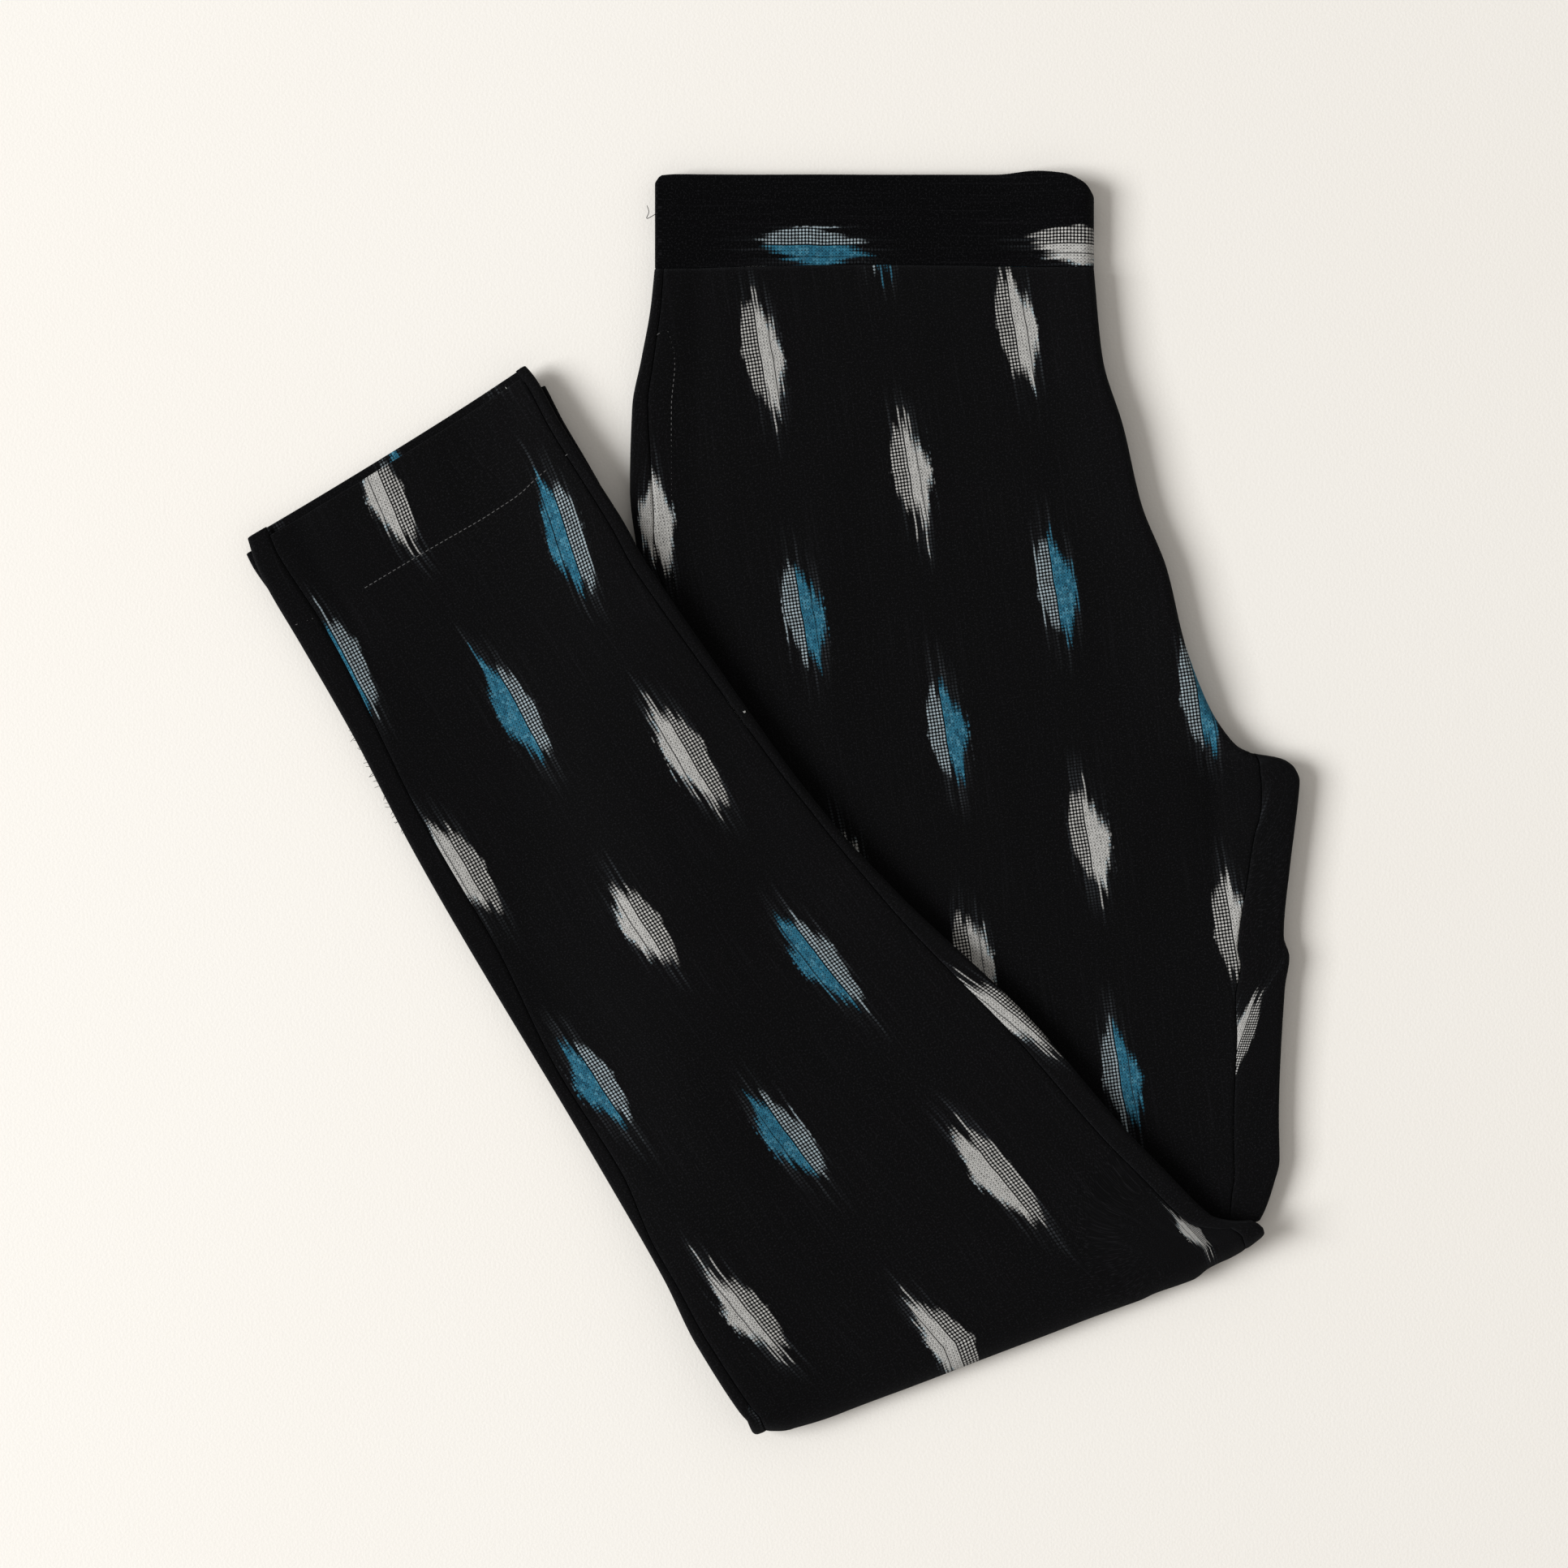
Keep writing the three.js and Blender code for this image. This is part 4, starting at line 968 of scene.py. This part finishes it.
# ---------- threads ----------
def thread_mesh(name, lines, radius, material, slot, sides=6):
    """One mesh of round threads, each along its own line of points in millimetres."""
    positions = []
    faces = []
    for line in lines:
        line = np.asarray(line, float)
        along = np.gradient(line, axis=0)
        along /= np.linalg.norm(along, axis=1)[:, None]
        side = np.cross(along, [0, 0, 1.0])
        side /= np.maximum(np.linalg.norm(side, axis=1), 1e-6)[:, None]
        up = np.cross(side, along)
        first = len(positions)
        for i in range(len(line)):
            taper = THREAD_TAPER if i in (0, len(line) - 1) else 1.0
            for k in range(sides):
                angle = 2 * math.pi * k / sides
                spot = line[i] + taper * radius * (math.cos(angle) * side[i] + math.sin(angle) * up[i])
                positions.append((spot - [*MIDDLE, 0]) * MM)
        for i in range(len(line) - 1):
            for k in range(sides):
                after = (k + 1) % sides
                a = first + i * sides
                faces.append((a + k, a + after, a + sides + after, a + sides + k))
        faces.append(tuple(first + k for k in reversed(range(sides))))
        last = first + (len(line) - 1) * sides
        faces.append(tuple(last + k for k in range(sides)))
    mesh = bpy.data.meshes.new(name)
    mesh.from_pydata([tuple(spot) for spot in positions], [], faces)
    return add_piece(mesh, material, slot)


def thigh_top(x, y):
    base, thick = thigh_tube(x, y)
    return base + thick + thigh_surface(x, y)


def leg_top(x, y):
    base, thick = leg_tube(x, y)
    return base + thick + leg_surface(x, y)


def band_top(x, y):
    return band_height("right_front", x) + BAND_WALL / 2 + band_surface(x, y, 1.0)


def route(points, step):
    """A smooth run of plan points through a few given ones."""
    points = np.array(points, float)
    places = run_lengths(points)
    at = np.linspace(0, places[-1], max(3, int(places[-1] / step) + 1))
    if len(points) == 2:
        return np.stack([np.interp(at, places, points[:, i]) for i in (0, 1)], axis=-1)
    tangent = np.gradient(points, places, axis=0)
    i = np.clip(np.searchsorted(places, at, side="right") - 1, 0, len(points) - 2)
    span = (places[i + 1] - places[i])[:, None]
    t = ((at - places[i])[:, None]) / span
    return (points[i] * (1 + 2 * t) * (1 - t) ** 2 + points[i + 1] * t * t * (3 - 2 * t)
            + span * tangent[i] * t * (1 - t) ** 2 - span * tangent[i + 1] * t * t * (1 - t))


STITCH_PITCH = 2.4
STITCH_LENGTH = 1.75
STITCH_DEPTH = 0.12  # how deep its ends lie in the cloth, and how high its middle lies over it
STITCH_RISE = 0.08
STITCH_POINTS = 6
THREAD_RADIUS = 0.17
THREAD_TAPER = 0.45
LOOSE_RADIUS = 0.16
LOOSE_LIFT = 0.15
FRAY_RADIUS = 0.11
ROUTE_STEP = 0.25
LOOSE_STEP = 0.7


def stitches(points, top):
    """Lines of the stitches along a route, each a thread that comes up out of the cloth and goes down."""
    path = route(points, ROUTE_STEP)
    places = run_lengths(path)
    lines = []
    for start in np.arange(0, places[-1] - STITCH_LENGTH, STITCH_PITCH):
        at = start + np.linspace(0, STITCH_LENGTH, STITCH_POINTS)
        x = np.interp(at, places, path[:, 0])
        y = np.interp(at, places, path[:, 1])
        bow = np.sin(np.linspace(0, math.pi, STITCH_POINTS))
        z = top(x, y) - STITCH_DEPTH + (STITCH_DEPTH + STITCH_RISE) * bow
        lines.append(np.stack([x, y, z], axis=-1))
    return lines


def lying(points, top):
    """A loose thread that lies on the cloth."""
    path = route(points, LOOSE_STEP)
    z = top(path[:, 0], path[:, 1]) + LOOSE_LIFT
    return np.column_stack([path, z])


POCKET_STITCH = (
    (-51.0, 481.4), (-47.2, 483.5), (-44.4, 476.8), (-44.7, 449.8), (-44.7, 415.4), (-43.7, 368.1),
)
BAND_STITCH = ((39.0, 522.9), (39.2, 512.2))
HEM_STITCHES = (
    ((-209.5, 354.3), (-200.9, 357.5)),
    ((-179.3, 370.6), (-153.7, 385.9), (-121.4, 404.7), (-109.3, 412.9), (-104.0, 417.8), (-88.0, 429.6)),
)
STRAY_THREAD = ((-55.4, 538.2), (-54.6, 535.0), (-55.6, 532.6), (-50.4, 535.0))
HEM_THREAD = ((-117.2, 458.3), (-115.2, 455.2), (-114.6, 452.6), (-112.9, 450.9))
KNOT = ((-13.3, 316.4), (-12.4, 315.6), (-12.2, 316.6), (-13.0, 315.9))
FRAY_START = (-185.0, 308.1)  # on the lower leg's side seam, where the overlocked edge has come loose
FRAY_END = (-160.8, 262.0)
FRAY_COUNT = 26
FRAY_POINTS = 5
FRAY_SEED = 7
FRAY_UNEVEN = 0.4  # how unevenly they follow each other, as a share of their spacing
FRAY_ROOT = (0.5, 1.5)  # how far in from the edge they start
FRAY_TURN = 0.8
FRAY_REACH = (1.2, 3.4)
FRAY_START_RISE = 0.4  # over the middle of the tube, at their start and at their end
FRAY_END_RISE = (-1.0, 1.2)


def fray_lines():
    pick = random.Random(FRAY_SEED)
    lines = []
    for i in range(FRAY_COUNT):
        share = (i + pick.uniform(-FRAY_UNEVEN, FRAY_UNEVEN)) / FRAY_COUNT
        x = mix(FRAY_START[0], FRAY_END[0], share)
        y = mix(FRAY_START[1], FRAY_END[1], share)
        u, v = leg_place(x, y)
        start = leg_point(leg_left_u(v) + pick.uniform(*FRAY_ROOT), v)
        turn = pick.uniform(-FRAY_TURN, FRAY_TURN)
        reach = pick.uniform(*FRAY_REACH)
        outward = -LEG_ACROSS * math.cos(turn) + LEG_AXIS * math.sin(turn)
        points = [start + outward * reach * share for share in np.linspace(0, 1, FRAY_POINTS)]
        base, thick = leg_tube(*start)
        rise = np.linspace(FRAY_START_RISE, pick.uniform(*FRAY_END_RISE), FRAY_POINTS)
        z = base + thick / 2 + rise
        lines.append(np.column_stack([points, z]))
    return lines


# ---------- materials ----------
FIRST_COLOUR = 6  # a colour mix's sockets, by place: its other kinds' have the same names
SECOND_COLOUR = 7
MIXED_COLOUR = 2


class Field:
    """A value that varies over a surface. Arithmetic on it adds the nodes that work it out."""

    def __init__(self, wires, socket):
        self.wires = wires
        self.socket = socket

    def __add__(self, other):
        return self.wires.math("ADD", self, other)

    def __sub__(self, other):
        return self.wires.math("SUBTRACT", self, other)

    def __rsub__(self, other):
        return self.wires.math("SUBTRACT", other, self)

    def __mul__(self, other):
        return self.wires.math("MULTIPLY", self, other)

    def __truediv__(self, number):
        return self * (1 / number)

    def __floordiv__(self, step):
        return self.wires.math("FLOOR", self / step)

    def __round__(self):
        return self.wires.math("ROUND", self)

    def __abs__(self):
        return self.wires.math("ABSOLUTE", self)

    def off_middle(self):
        """How far the value is from the middle of its whole-number cell."""
        return self.wires.math("FRACT", self) - 0.5

    def odd(self):
        """1 where a whole number is odd, 0 where it is even."""
        return self.wires.math("PINGPONG", self, 1.0)

    def scaled(self, scale, shift):
        return self.wires.math("MULTIPLY_ADD", self, scale, shift)

    def smooth(self, low, high):
        """0 at low and 1 at high, whichever of the two is larger."""
        ends = {"Value": self, "From Min": low, "From Max": high}
        return self.wires.node("ShaderNodeMapRange", "Result", ends, interpolation_type="SMOOTHSTEP")

    def parts(self):
        """The three parts of a vector or a colour."""
        split = self.wires.node("ShaderNodeSeparateXYZ", 0, {0: self})
        return [Field(self.wires, output) for output in split.socket.node.outputs]


class Wires:
    """A material and the nodes in its tree. The values they take are fields, numbers or colours."""

    def __init__(self, name):
        self.material = bpy.data.materials.new(name)
        self.material.use_nodes = True
        self.tree = self.material.node_tree
        self.shader = self.tree.nodes["Principled BSDF"]

    def plug(self, node, values):
        """Gives a node's sockets, by name or by place, their values."""
        for key, value in values.items():
            if isinstance(value, Field):
                self.tree.links.new(value.socket, node.inputs[key])
            else:
                node.inputs[key].default_value = value

    def node(self, kind, output, values, **settings):
        """An output, by name or by place, of a new node."""
        node = self.tree.nodes.new(kind)
        for name, setting in settings.items():
            setattr(node, name, setting)
        self.plug(node, values)
        return Field(self, node.outputs[output])

    def math(self, operation, *values):
        return self.node("ShaderNodeMath", 0, dict(enumerate(values)), operation=operation)

    def larger(self, a, b):
        return self.math("MAXIMUM", a, b)

    def smaller(self, a, b):
        return self.math("MINIMUM", a, b)

    def distance(self, a, b):
        return self.math("SQRT", a * a + b * b)

    def vector(self, x, y, z=0.0):
        return self.node("ShaderNodeCombineXYZ", 0, {0: x, 1: y, 2: z})

    def chance(self, x, y, z):
        """Three even chances from 0 to 1, the same all over one whole-number cell."""
        cell = {"Vector": self.vector(x, y, z)}
        return self.node("ShaderNodeTexWhiteNoise", "Color", cell, noise_dimensions="3D").parts()

    def noise(self, place, scale, detail=2.0):
        return self.node("ShaderNodeTexNoise", "Fac", {"Vector": place, "Scale": scale, "Detail": detail})

    def curve(self, value, points):
        """A curve through given points, over a value from the first point to the last."""
        low, high = points[0][0], points[-1][0]
        floor, roof = MOTIF_SPAN
        along = value.scaled(1 / (high - low), -low / (high - low))
        drawn = self.node("ShaderNodeFloatCurve", 0, {"Value": along})
        mapping = drawn.socket.node.mapping
        line = mapping.curves[0]
        while len(line.points) < len(points):
            line.points.new(0.5, 0.5)
        for point, (x, y) in zip(line.points, points):
            point.location = (x - low) / (high - low), (y - floor) / (roof - floor)
            point.handle_type = "VECTOR"
        mapping.update()
        return drawn.scaled(roof - floor, floor)

    def blend(self, share, a, b):
        """A colour: a where share is 0, b where it is 1."""
        ends = {"Factor": share, FIRST_COLOUR: a, SECOND_COLOUR: b}
        return self.node("ShaderNodeMix", MIXED_COLOUR, ends, data_type="RGBA")

    def finish(self, relief, strength, depth, values):
        """Tilts the surface by a relief, and gives the shader its other values."""
        bump = {"Strength": strength, "Distance": depth, "Height": relief}
        self.plug(self.shader, {"Normal": self.node("ShaderNodeBump", "Normal", bump), **values})
        return self.material


def colour(red, green, blue):
    """An sRGB colour of 0 to 255 as Blender's linear one."""
    shares = [value / 255 for value in (red, green, blue)]
    return (*[s / 12.92 if s <= 0.04045 else ((s + 0.055) / 1.055) ** 2.4 for s in shares], 1.0)


# The motif, in millimetres: a runs across from its dark line, with its dots below 0 and its solid stretch
# above, and b runs along the warp. Each row is (a, b of the upper end) or (a, b of the lower end).
MOTIF_UPPER = ((-8.6, 0), (-7.5, -2.4), (-6.5, -14), (-5.5, -21), (-4.5, -28), (-3, -29), (-1.5, -27),
               (0.5, -28), (2, -28), (3, -22), (4, -21), (5, -16), (6.5, -13), (8, -9.6), (9.5, -2.4),
               (10.6, 0))
MOTIF_LOWER = ((-8.6, 0), (-7.5, 2), (-6.5, 6), (-5.5, 10), (-4.5, 17), (-3, 20), (-1.5, 24), (0.5, 19),
               (2, 24), (3, 23), (4, 28), (5, 28), (6.5, 15), (8, 13), (9.5, 5), (10.6, 0))
MOTIF_SPAN = (-30.0, 30.0)  # b of the lowest and the highest that the curves can go
MOTIF_LEFT = MOTIF_UPPER[0][0]
MOTIF_RIGHT = MOTIF_UPPER[-1][0]
UPPER_REACH = (0.24, 0.68)  # how far a motif's ends go, as (spread, least) shares of the curves
LOWER_REACH = (0.24, 0.74)
DOT_ACROSS = 1.42
DOT_ALONG = 1.5
THREAD_ACROSS = 0.71  # the finer threads of the solid stretch
THREAD_ALONG = 0.75
WARP_WANDER = 1.2  # how far the threads wander aside along their run
END_SPREAD = 8.0  # how unevenly neighbouring threads end
SIDE_SPREAD = 1.4  # how unevenly a motif's sides lie
SIDE_SOFT = 0.7
# Soft steps, each as (value at which it is 0, value at which it is 1).
DOT_EDGE = (0.44, 0.28)  # of a dot, in shares of its cell from its middle
SPECK_EDGE = (0.54, 0.26)
DOTTED_SIDE = (-0.10, -0.35)  # a, either side of the dark line
SOLID_SIDE = (0.15, 0.40)
SLIT_EDGE = (0.34, 0.14)  # distance from a slit's middle
SLIT_CHANCE = (0.45, 0.50)
LONE_CHANCE = (0.80, 0.84)
LONE_WIDTH = (0.30, 0.14)  # of a lone thread in its cell, and of a stitch of it along its run
LONE_LENGTH = (0.50, 0.34)
STREAK_EDGE = (0.52, 0.78)
FLECK_EDGE = (0.50, 0.72)
# Soft steps over the distance inside a motif's ends, which is negative outside them.
DOTTED_END = (-2.0, 3.0)
SOLID_END = (0.0, 4.0)
FADED_END = (-4.0, 1.5)
TRAIL_END = (-24.0, -1.0)
TINT_END = (5.0, 0.5)
LONE_REACH = (-12.0, -3.0)  # how far a lone thread runs on, as (spread by chance, least)
LONE_SOFT = 3.0
COLOUR_WHITE = colour(200, 200, 198)
COLOUR_BLUE = colour(48, 115, 143)
COLOUR_BLUE_BRIGHT = colour(112, 178, 202)
COLOUR_BLUE_DARK = colour(16, 66, 92)
COLOUR_DOT = colour(196, 206, 210)
COLOUR_TINT = colour(120, 175, 200)
COLOUR_TRAIL = colour(150, 160, 170)
COLOUR_STREAK = colour(26, 26, 29)
COLOUR_FLECK = colour(36, 36, 39)
WEAVE_PITCH = (0.58, 0.62)  # of the warp and the weft
SHEEN_TINT = (0.8, 0.85, 0.95, 1.0)


class Ikat(Wires):
    """Black cotton with a half-drop lattice of white and blue motifs, from the cloth's own coordinates."""

    def __init__(self, name, black, trail=1.0):
        """trail is the strength of the faint dots that follow the threads past a motif's ends."""
        super().__init__(name)
        across, along, _ = self.node("ShaderNodeUVMap", "UV", {}, uv_map="cloth").parts()
        self.s = across / MM
        self.t = along / MM
        self.find_motif()
        self.find_dots()
        self.find_ends()
        self.yarn = self.noise(self.vector(self.s * 2.2, self.t * 0.5), 1.0)
        motif = self.larger(self.motif(), self.lone_threads())
        ground = self.ground(black, trail)
        paint = self.blend(self.is_blue, self.white(), self.blue())
        self.finish(self.relief(motif), strength=0.8, depth=0.0003, values={
            "Base Color": self.blend(motif, ground, paint),
            "Roughness": motif.scaled(-0.12, 0.92),
            "Specular IOR Level": 0.05,
            "Sheen Weight": 0.03,
            "Sheen Roughness": 0.45,
            "Sheen Tint": SHEEN_TINT,
        })

    def find_motif(self):
        """Which motif this is, and where in it."""
        self.column = round(self.s / REPEAT_ACROSS)
        dropped = self.t - self.column.odd() * (REPEAT_ALONG / 2)
        self.row = round(dropped / REPEAT_ALONG)
        self.is_blue = self.row.odd()
        self.early_end, self.late_end, self.has_slit = self.chance(self.column, self.row, 3.0)
        wander = self.noise(self.vector(self.s * 0.02, self.t), 0.07)
        self.a = self.s - self.column * REPEAT_ACROSS + wander.scaled(WARP_WANDER, -WARP_WANDER / 2)
        self.b = dropped - self.row * REPEAT_ALONG

    def find_dots(self):
        """The weave's dots, with two chances for each."""
        self.dot_column = self.a // DOT_ACROSS
        self.dot_row = self.b // DOT_ALONG
        self.off_a = (self.a / DOT_ACROSS).off_middle()
        self.off_b = (self.b / DOT_ALONG).off_middle()
        which = self.column + self.row * 9.0
        self.bright, self.grain, _ = self.chance(self.dot_column, self.dot_row, which)
        round_dot = self.distance(self.off_a, self.off_b).smooth(*DOT_EDGE)
        self.dot = round_dot * self.bright.scaled(0.35, 0.65)

    def find_ends(self):
        """How far inside the motif this is, by the ends of its threads and by its ragged sides."""
        self.early, late, self.strength = self.chance(self.dot_column, self.column, self.row)
        upper = self.curve(self.a, MOTIF_UPPER) * self.early_end.scaled(*UPPER_REACH)
        lower = self.curve(self.a, MOTIF_LOWER) * self.late_end.scaled(*LOWER_REACH)
        from_upper = self.b - (upper + self.early.scaled(END_SPREAD, -END_SPREAD / 2))
        from_lower = lower + late.scaled(END_SPREAD, -END_SPREAD / 2) - self.b
        self.inside = self.smaller(from_upper, from_lower)
        ragged, _, _ = self.chance(self.dot_row, self.column, self.row)
        side = self.a + ragged.scaled(SIDE_SPREAD, -SIDE_SPREAD / 2)
        left = side.smooth(MOTIF_LEFT, MOTIF_LEFT + SIDE_SOFT)
        right = side.smooth(MOTIF_RIGHT, MOTIF_RIGHT - SIDE_SOFT)
        self.within = left * right
        self.dotted_side = self.a.smooth(*DOTTED_SIDE)

    def specks(self):
        """The dark specks of the solid stretch, aslant: every other thread's lie half a step on."""
        thread = self.a // THREAD_ACROSS
        steps = self.b * (0.5 / THREAD_ALONG)
        off_thread = (self.a / THREAD_ACROSS).off_middle()
        off_step = (steps + self.math("FRACT", thread * 0.5)).off_middle()
        depth, _, _ = self.chance(thread, steps // 1, 5.0)
        return self.distance(off_thread, off_step).smooth(*SPECK_EDGE) * depth.scaled(0.50, 0.48)

    def motif(self):
        """The dots on one side, the solid stretch on the other, and here and there a slit in it."""
        dotted = self.dot * self.dotted_side * self.inside.smooth(*DOTTED_END)
        full = self.inside.smooth(*SOLID_END) * (1.0 - self.specks())
        faded = self.dot * self.inside.smooth(*FADED_END)
        solid = self.larger(full, faded) * self.a.smooth(*SOLID_SIDE)
        from_slit = abs(self.a - self.early_end.scaled(2.0, 4.2))
        slit = from_slit.smooth(*SLIT_EDGE) * self.has_slit.smooth(*SLIT_CHANCE)
        return self.larger(dotted, solid) * self.within * slit.scaled(-0.85, 1.0)

    def lone_threads(self):
        """The few single threads that run on past the ends."""
        thin = abs(self.off_a).smooth(*LONE_WIDTH) * abs(self.off_b).smooth(*LONE_LENGTH)
        reach = self.early.scaled(*LONE_REACH)
        lone = self.strength.smooth(*LONE_CHANCE) * self.inside.smooth(reach, reach + LONE_SOFT)
        return thin * lone * (self.within * 0.75)

    def ground(self, black, trail):
        """Black with pale streaks along the warp, flecks, and faint dots where the threads run on."""
        streak = self.noise(self.vector(self.s * 1.1, self.t * 0.018), 1.0, 3.0).smooth(*STREAK_EDGE)
        fleck = self.noise(self.vector(self.s, self.t), 1.3).smooth(*FLECK_EDGE)
        near = self.inside.smooth(*TRAIL_END) * self.within
        trail_dots = self.dot * near * (self.strength.smooth(0.25, 1.0) * (0.13 * trail))
        shade = self.blend(streak * self.yarn.scaled(0.4, 0.1), black, COLOUR_STREAK)
        shade = self.blend(fleck * 0.45, shade, COLOUR_FLECK)
        return self.blend(trail_dots, shade, COLOUR_TRAIL)

    def blue(self):
        shade = self.blend(self.grain.smooth(0.5, 1.0) * 0.35, COLOUR_BLUE, COLOUR_BLUE_BRIGHT)
        shade = self.blend(self.bright.smooth(0.4, 0.0) * 0.5, shade, COLOUR_BLUE_DARK)
        return self.blend(self.dotted_side * 0.7, shade, COLOUR_DOT)

    def white(self):
        """White, with a blue tint near the ends of the solid stretch."""
        tint = self.inside.smooth(*TINT_END) * (self.a.smooth(2.0, 5.0) * self.bright.smooth(0.2, 0.9))
        return self.blend(tint * 0.45, COLOUR_WHITE, COLOUR_TINT)

    def relief(self, motif):
        """The warp and the weft over and under each other."""
        turn = 2 * math.pi
        end = self.math("SINE", self.s * (turn / WEAVE_PITCH[0]))
        pick = self.math("SINE", self.t * (turn / WEAVE_PITCH[1]))
        return pick * end * 0.5 + motif * 0.9 + self.yarn * 0.8


def thread_material(name, dark, light):
    wires = Wires(name)
    fibre = wires.noise(wires.node("ShaderNodeTexCoord", "Object", {}), 5200.0)
    return wires.finish(fibre, strength=0.4, depth=0.00005, values={
        "Base Color": wires.blend(fibre, dark, light),
        "Roughness": 0.75,
        "Specular IOR Level": 0.3,
    })


def floor_material():
    wires = Wires("pale_floor")
    place = wires.node("ShaderNodeTexCoord", "Object", {})
    canvas = wires.noise(place, 900.0, 3.0)
    pale = wires.blend(wires.noise(place, 3.0), colour(238, 237, 234), colour(237, 234, 229))
    return wires.finish(canvas, strength=0.35, depth=0.0003, values={
        "Base Color": wires.blend(canvas * 0.16, pale, colour(205, 198, 190)),
        "Roughness": 0.8,
        "Specular IOR Level": 0.2,
    })


# ---------- the trousers ----------
# The waistband's copy of the cotton takes a darker black ground than the thigh's and the lower leg's: this is painted
# shade.
BAND_CLOTH = Ikat("waistband_cotton", colour(2, 2, 3), 0.6).material
THIGH_CLOTH = Ikat("thigh_cotton", colour(8, 8, 9)).material
LEG_CLOTH = Ikat("lower_leg_cotton", colour(8, 8, 9)).material
# The hidden layers' copy takes a darker black ground as well: this is painted shade where they show at the edges and
# at the knee.
UNDER_CLOTH = Ikat("under_cotton", colour(5, 5, 6)).material
BLACK_THREAD = thread_material("black_thread", colour(12, 12, 13), colour(38, 38, 41))
GREY_THREAD = thread_material("grey_thread", colour(62, 62, 64), colour(112, 112, 112))
PALE_THREAD = thread_material("pale_thread", colour(150, 150, 150), colour(215, 215, 212))

band = waistband(BAND_CLOTH)
right_front = thigh_panel("right_front", front_arcs, thigh_front_cloth, THIGH_CLOTH)
right_back = thigh_panel("right_back", back_arcs, thigh_back_cloth, THIGH_CLOTH)
left_front = leg_panel("left_front", front_arcs, leg_front_cloth, HEM_STEP, LEG_CLOTH)
left_back = leg_panel("left_back", back_arcs, leg_back_cloth, (0.0, 0.0), LEG_CLOTH)
under = hidden_layers(UNDER_CLOTH)

pocket_lines = stitches(POCKET_STITCH, thigh_top)
pocket_stitch = thread_mesh("pocket_topstitch", pocket_lines, THREAD_RADIUS, GREY_THREAD, "thigh_cloth")
band_lines = stitches(BAND_STITCH, band_top)
band_stitch = thread_mesh("waistband_stitch", band_lines, THREAD_RADIUS, BLACK_THREAD, "band_cloth")
hem_lines = [line for points in HEM_STITCHES for line in stitches(points, leg_top)]
hem_stitch = thread_mesh("hem_stitch", hem_lines, THREAD_RADIUS, GREY_THREAD, "leg_cloth")
stray_lines = [lying(STRAY_THREAD, band_top)]
stray = thread_mesh("stray_thread", stray_lines, LOOSE_RADIUS, BLACK_THREAD, "band_cloth")
pale_lines = [lying(HEM_THREAD, leg_top), lying(KNOT, leg_top)]
pale = thread_mesh("pale_threads", pale_lines, LOOSE_RADIUS, PALE_THREAD, "leg_cloth")
fray = thread_mesh("frayed_edge", fray_lines(), FRAY_RADIUS, BLACK_THREAD, "leg_cloth", sides=4)


def cut_area(piece):
    """Half of a wall's surface, which is the cloth that it was cut from."""
    return sum(polygon.area for polygon in piece.data.polygons) / 2


# Each sheet's piece, the width and length of its cut in metres, what it rests on, and what lies on it.
for piece, width, length, rests_on, with_pieces in (
    (band, 0.764, 0.042, (under,), (band_stitch, stray)),
    (right_front, 0.255, 0.50, (under,), (pocket_stitch,)),
    (right_back, 0.330, 0.50, (under,), ()),
    (left_front, 0.225, 0.53, (under, right_front), (hem_stitch, pale)),
    (left_back, 0.250, 0.53, (under,), (fray,)),
    (under, 0.500, 1.02, (), ()),
):
    area = min(cut_area(piece), width * length)
    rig.sheet(piece, flat=(width, length), held="folded", rests_on=list(rests_on), area=area,
             with_pieces=list(with_pieces))

# ---------- floor, light and camera ----------
PHOTO_WIDTH = 0.6859  # what the photograph takes in, at the height of the cloth
PHOTO_MIDDLE = (0.0051, 0.0090)
LENS = 85.0
SENSOR = 36.0
CLOTH_HEIGHT = 0.011
FLOOR_SIDE = 3.0
FLOOR_Z = -0.0002
KEY_PLACE = (-5.6, -0.3, 4.6)
KEY_SIZE = 3.6
KEY_POWER = 600.0
KEY_TINT = (1.0, 0.998, 0.99)
WORLD_TINT = (1.0, 0.955, 0.90, 1.0)
WORLD_STRENGTH = 0.43


def add_floor():
    mesh = bpy.data.meshes.new("floor")
    corners = ((-1, -1), (1, -1), (1, 1), (-1, 1))
    mesh.from_pydata([(x * FLOOR_SIDE, y * FLOOR_SIDE, FLOOR_Z) for x, y in corners], [], [(0, 1, 2, 3)])
    mesh.materials.append(floor_material())
    floor = bpy.data.objects.new("floor", mesh)
    bpy.context.collection.objects.link(floor)
    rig.stage(floor)


def add_light():
    light = bpy.data.lights.new("key", "AREA")
    light.size = KEY_SIZE
    light.energy = KEY_POWER
    light.color = KEY_TINT
    lamp = bpy.data.objects.new("key", light)
    lamp.location = KEY_PLACE
    lamp.rotation_euler = (-Vector(KEY_PLACE)).to_track_quat("-Z", "Y").to_euler()
    bpy.context.collection.objects.link(lamp)


def add_world():
    world = bpy.data.worlds.new("soft_white")
    world.use_nodes = True
    background = world.node_tree.nodes["Background"]
    background.inputs["Color"].default_value = WORLD_TINT
    background.inputs["Strength"].default_value = WORLD_STRENGTH
    bpy.context.scene.world = world


def add_camera():
    data = bpy.data.cameras.new("camera")
    data.lens = LENS
    data.sensor_width = SENSOR
    camera = bpy.data.objects.new("camera", data)
    away = PHOTO_WIDTH / 2 / (SENSOR / 2 / LENS)
    camera.location = (*PHOTO_MIDDLE, away + CLOTH_HEIGHT)
    bpy.context.collection.objects.link(camera)
    bpy.context.scene.camera = camera


add_floor()
add_light()
add_world()
add_camera()
bpy.context.scene.view_settings.view_transform = "Standard"

with open("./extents.json", "w") as file:
    json.dump({"cad": [list(corner) for corner in CAD_BOX], "visual": [list(corner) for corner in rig.bounds()]}, file)
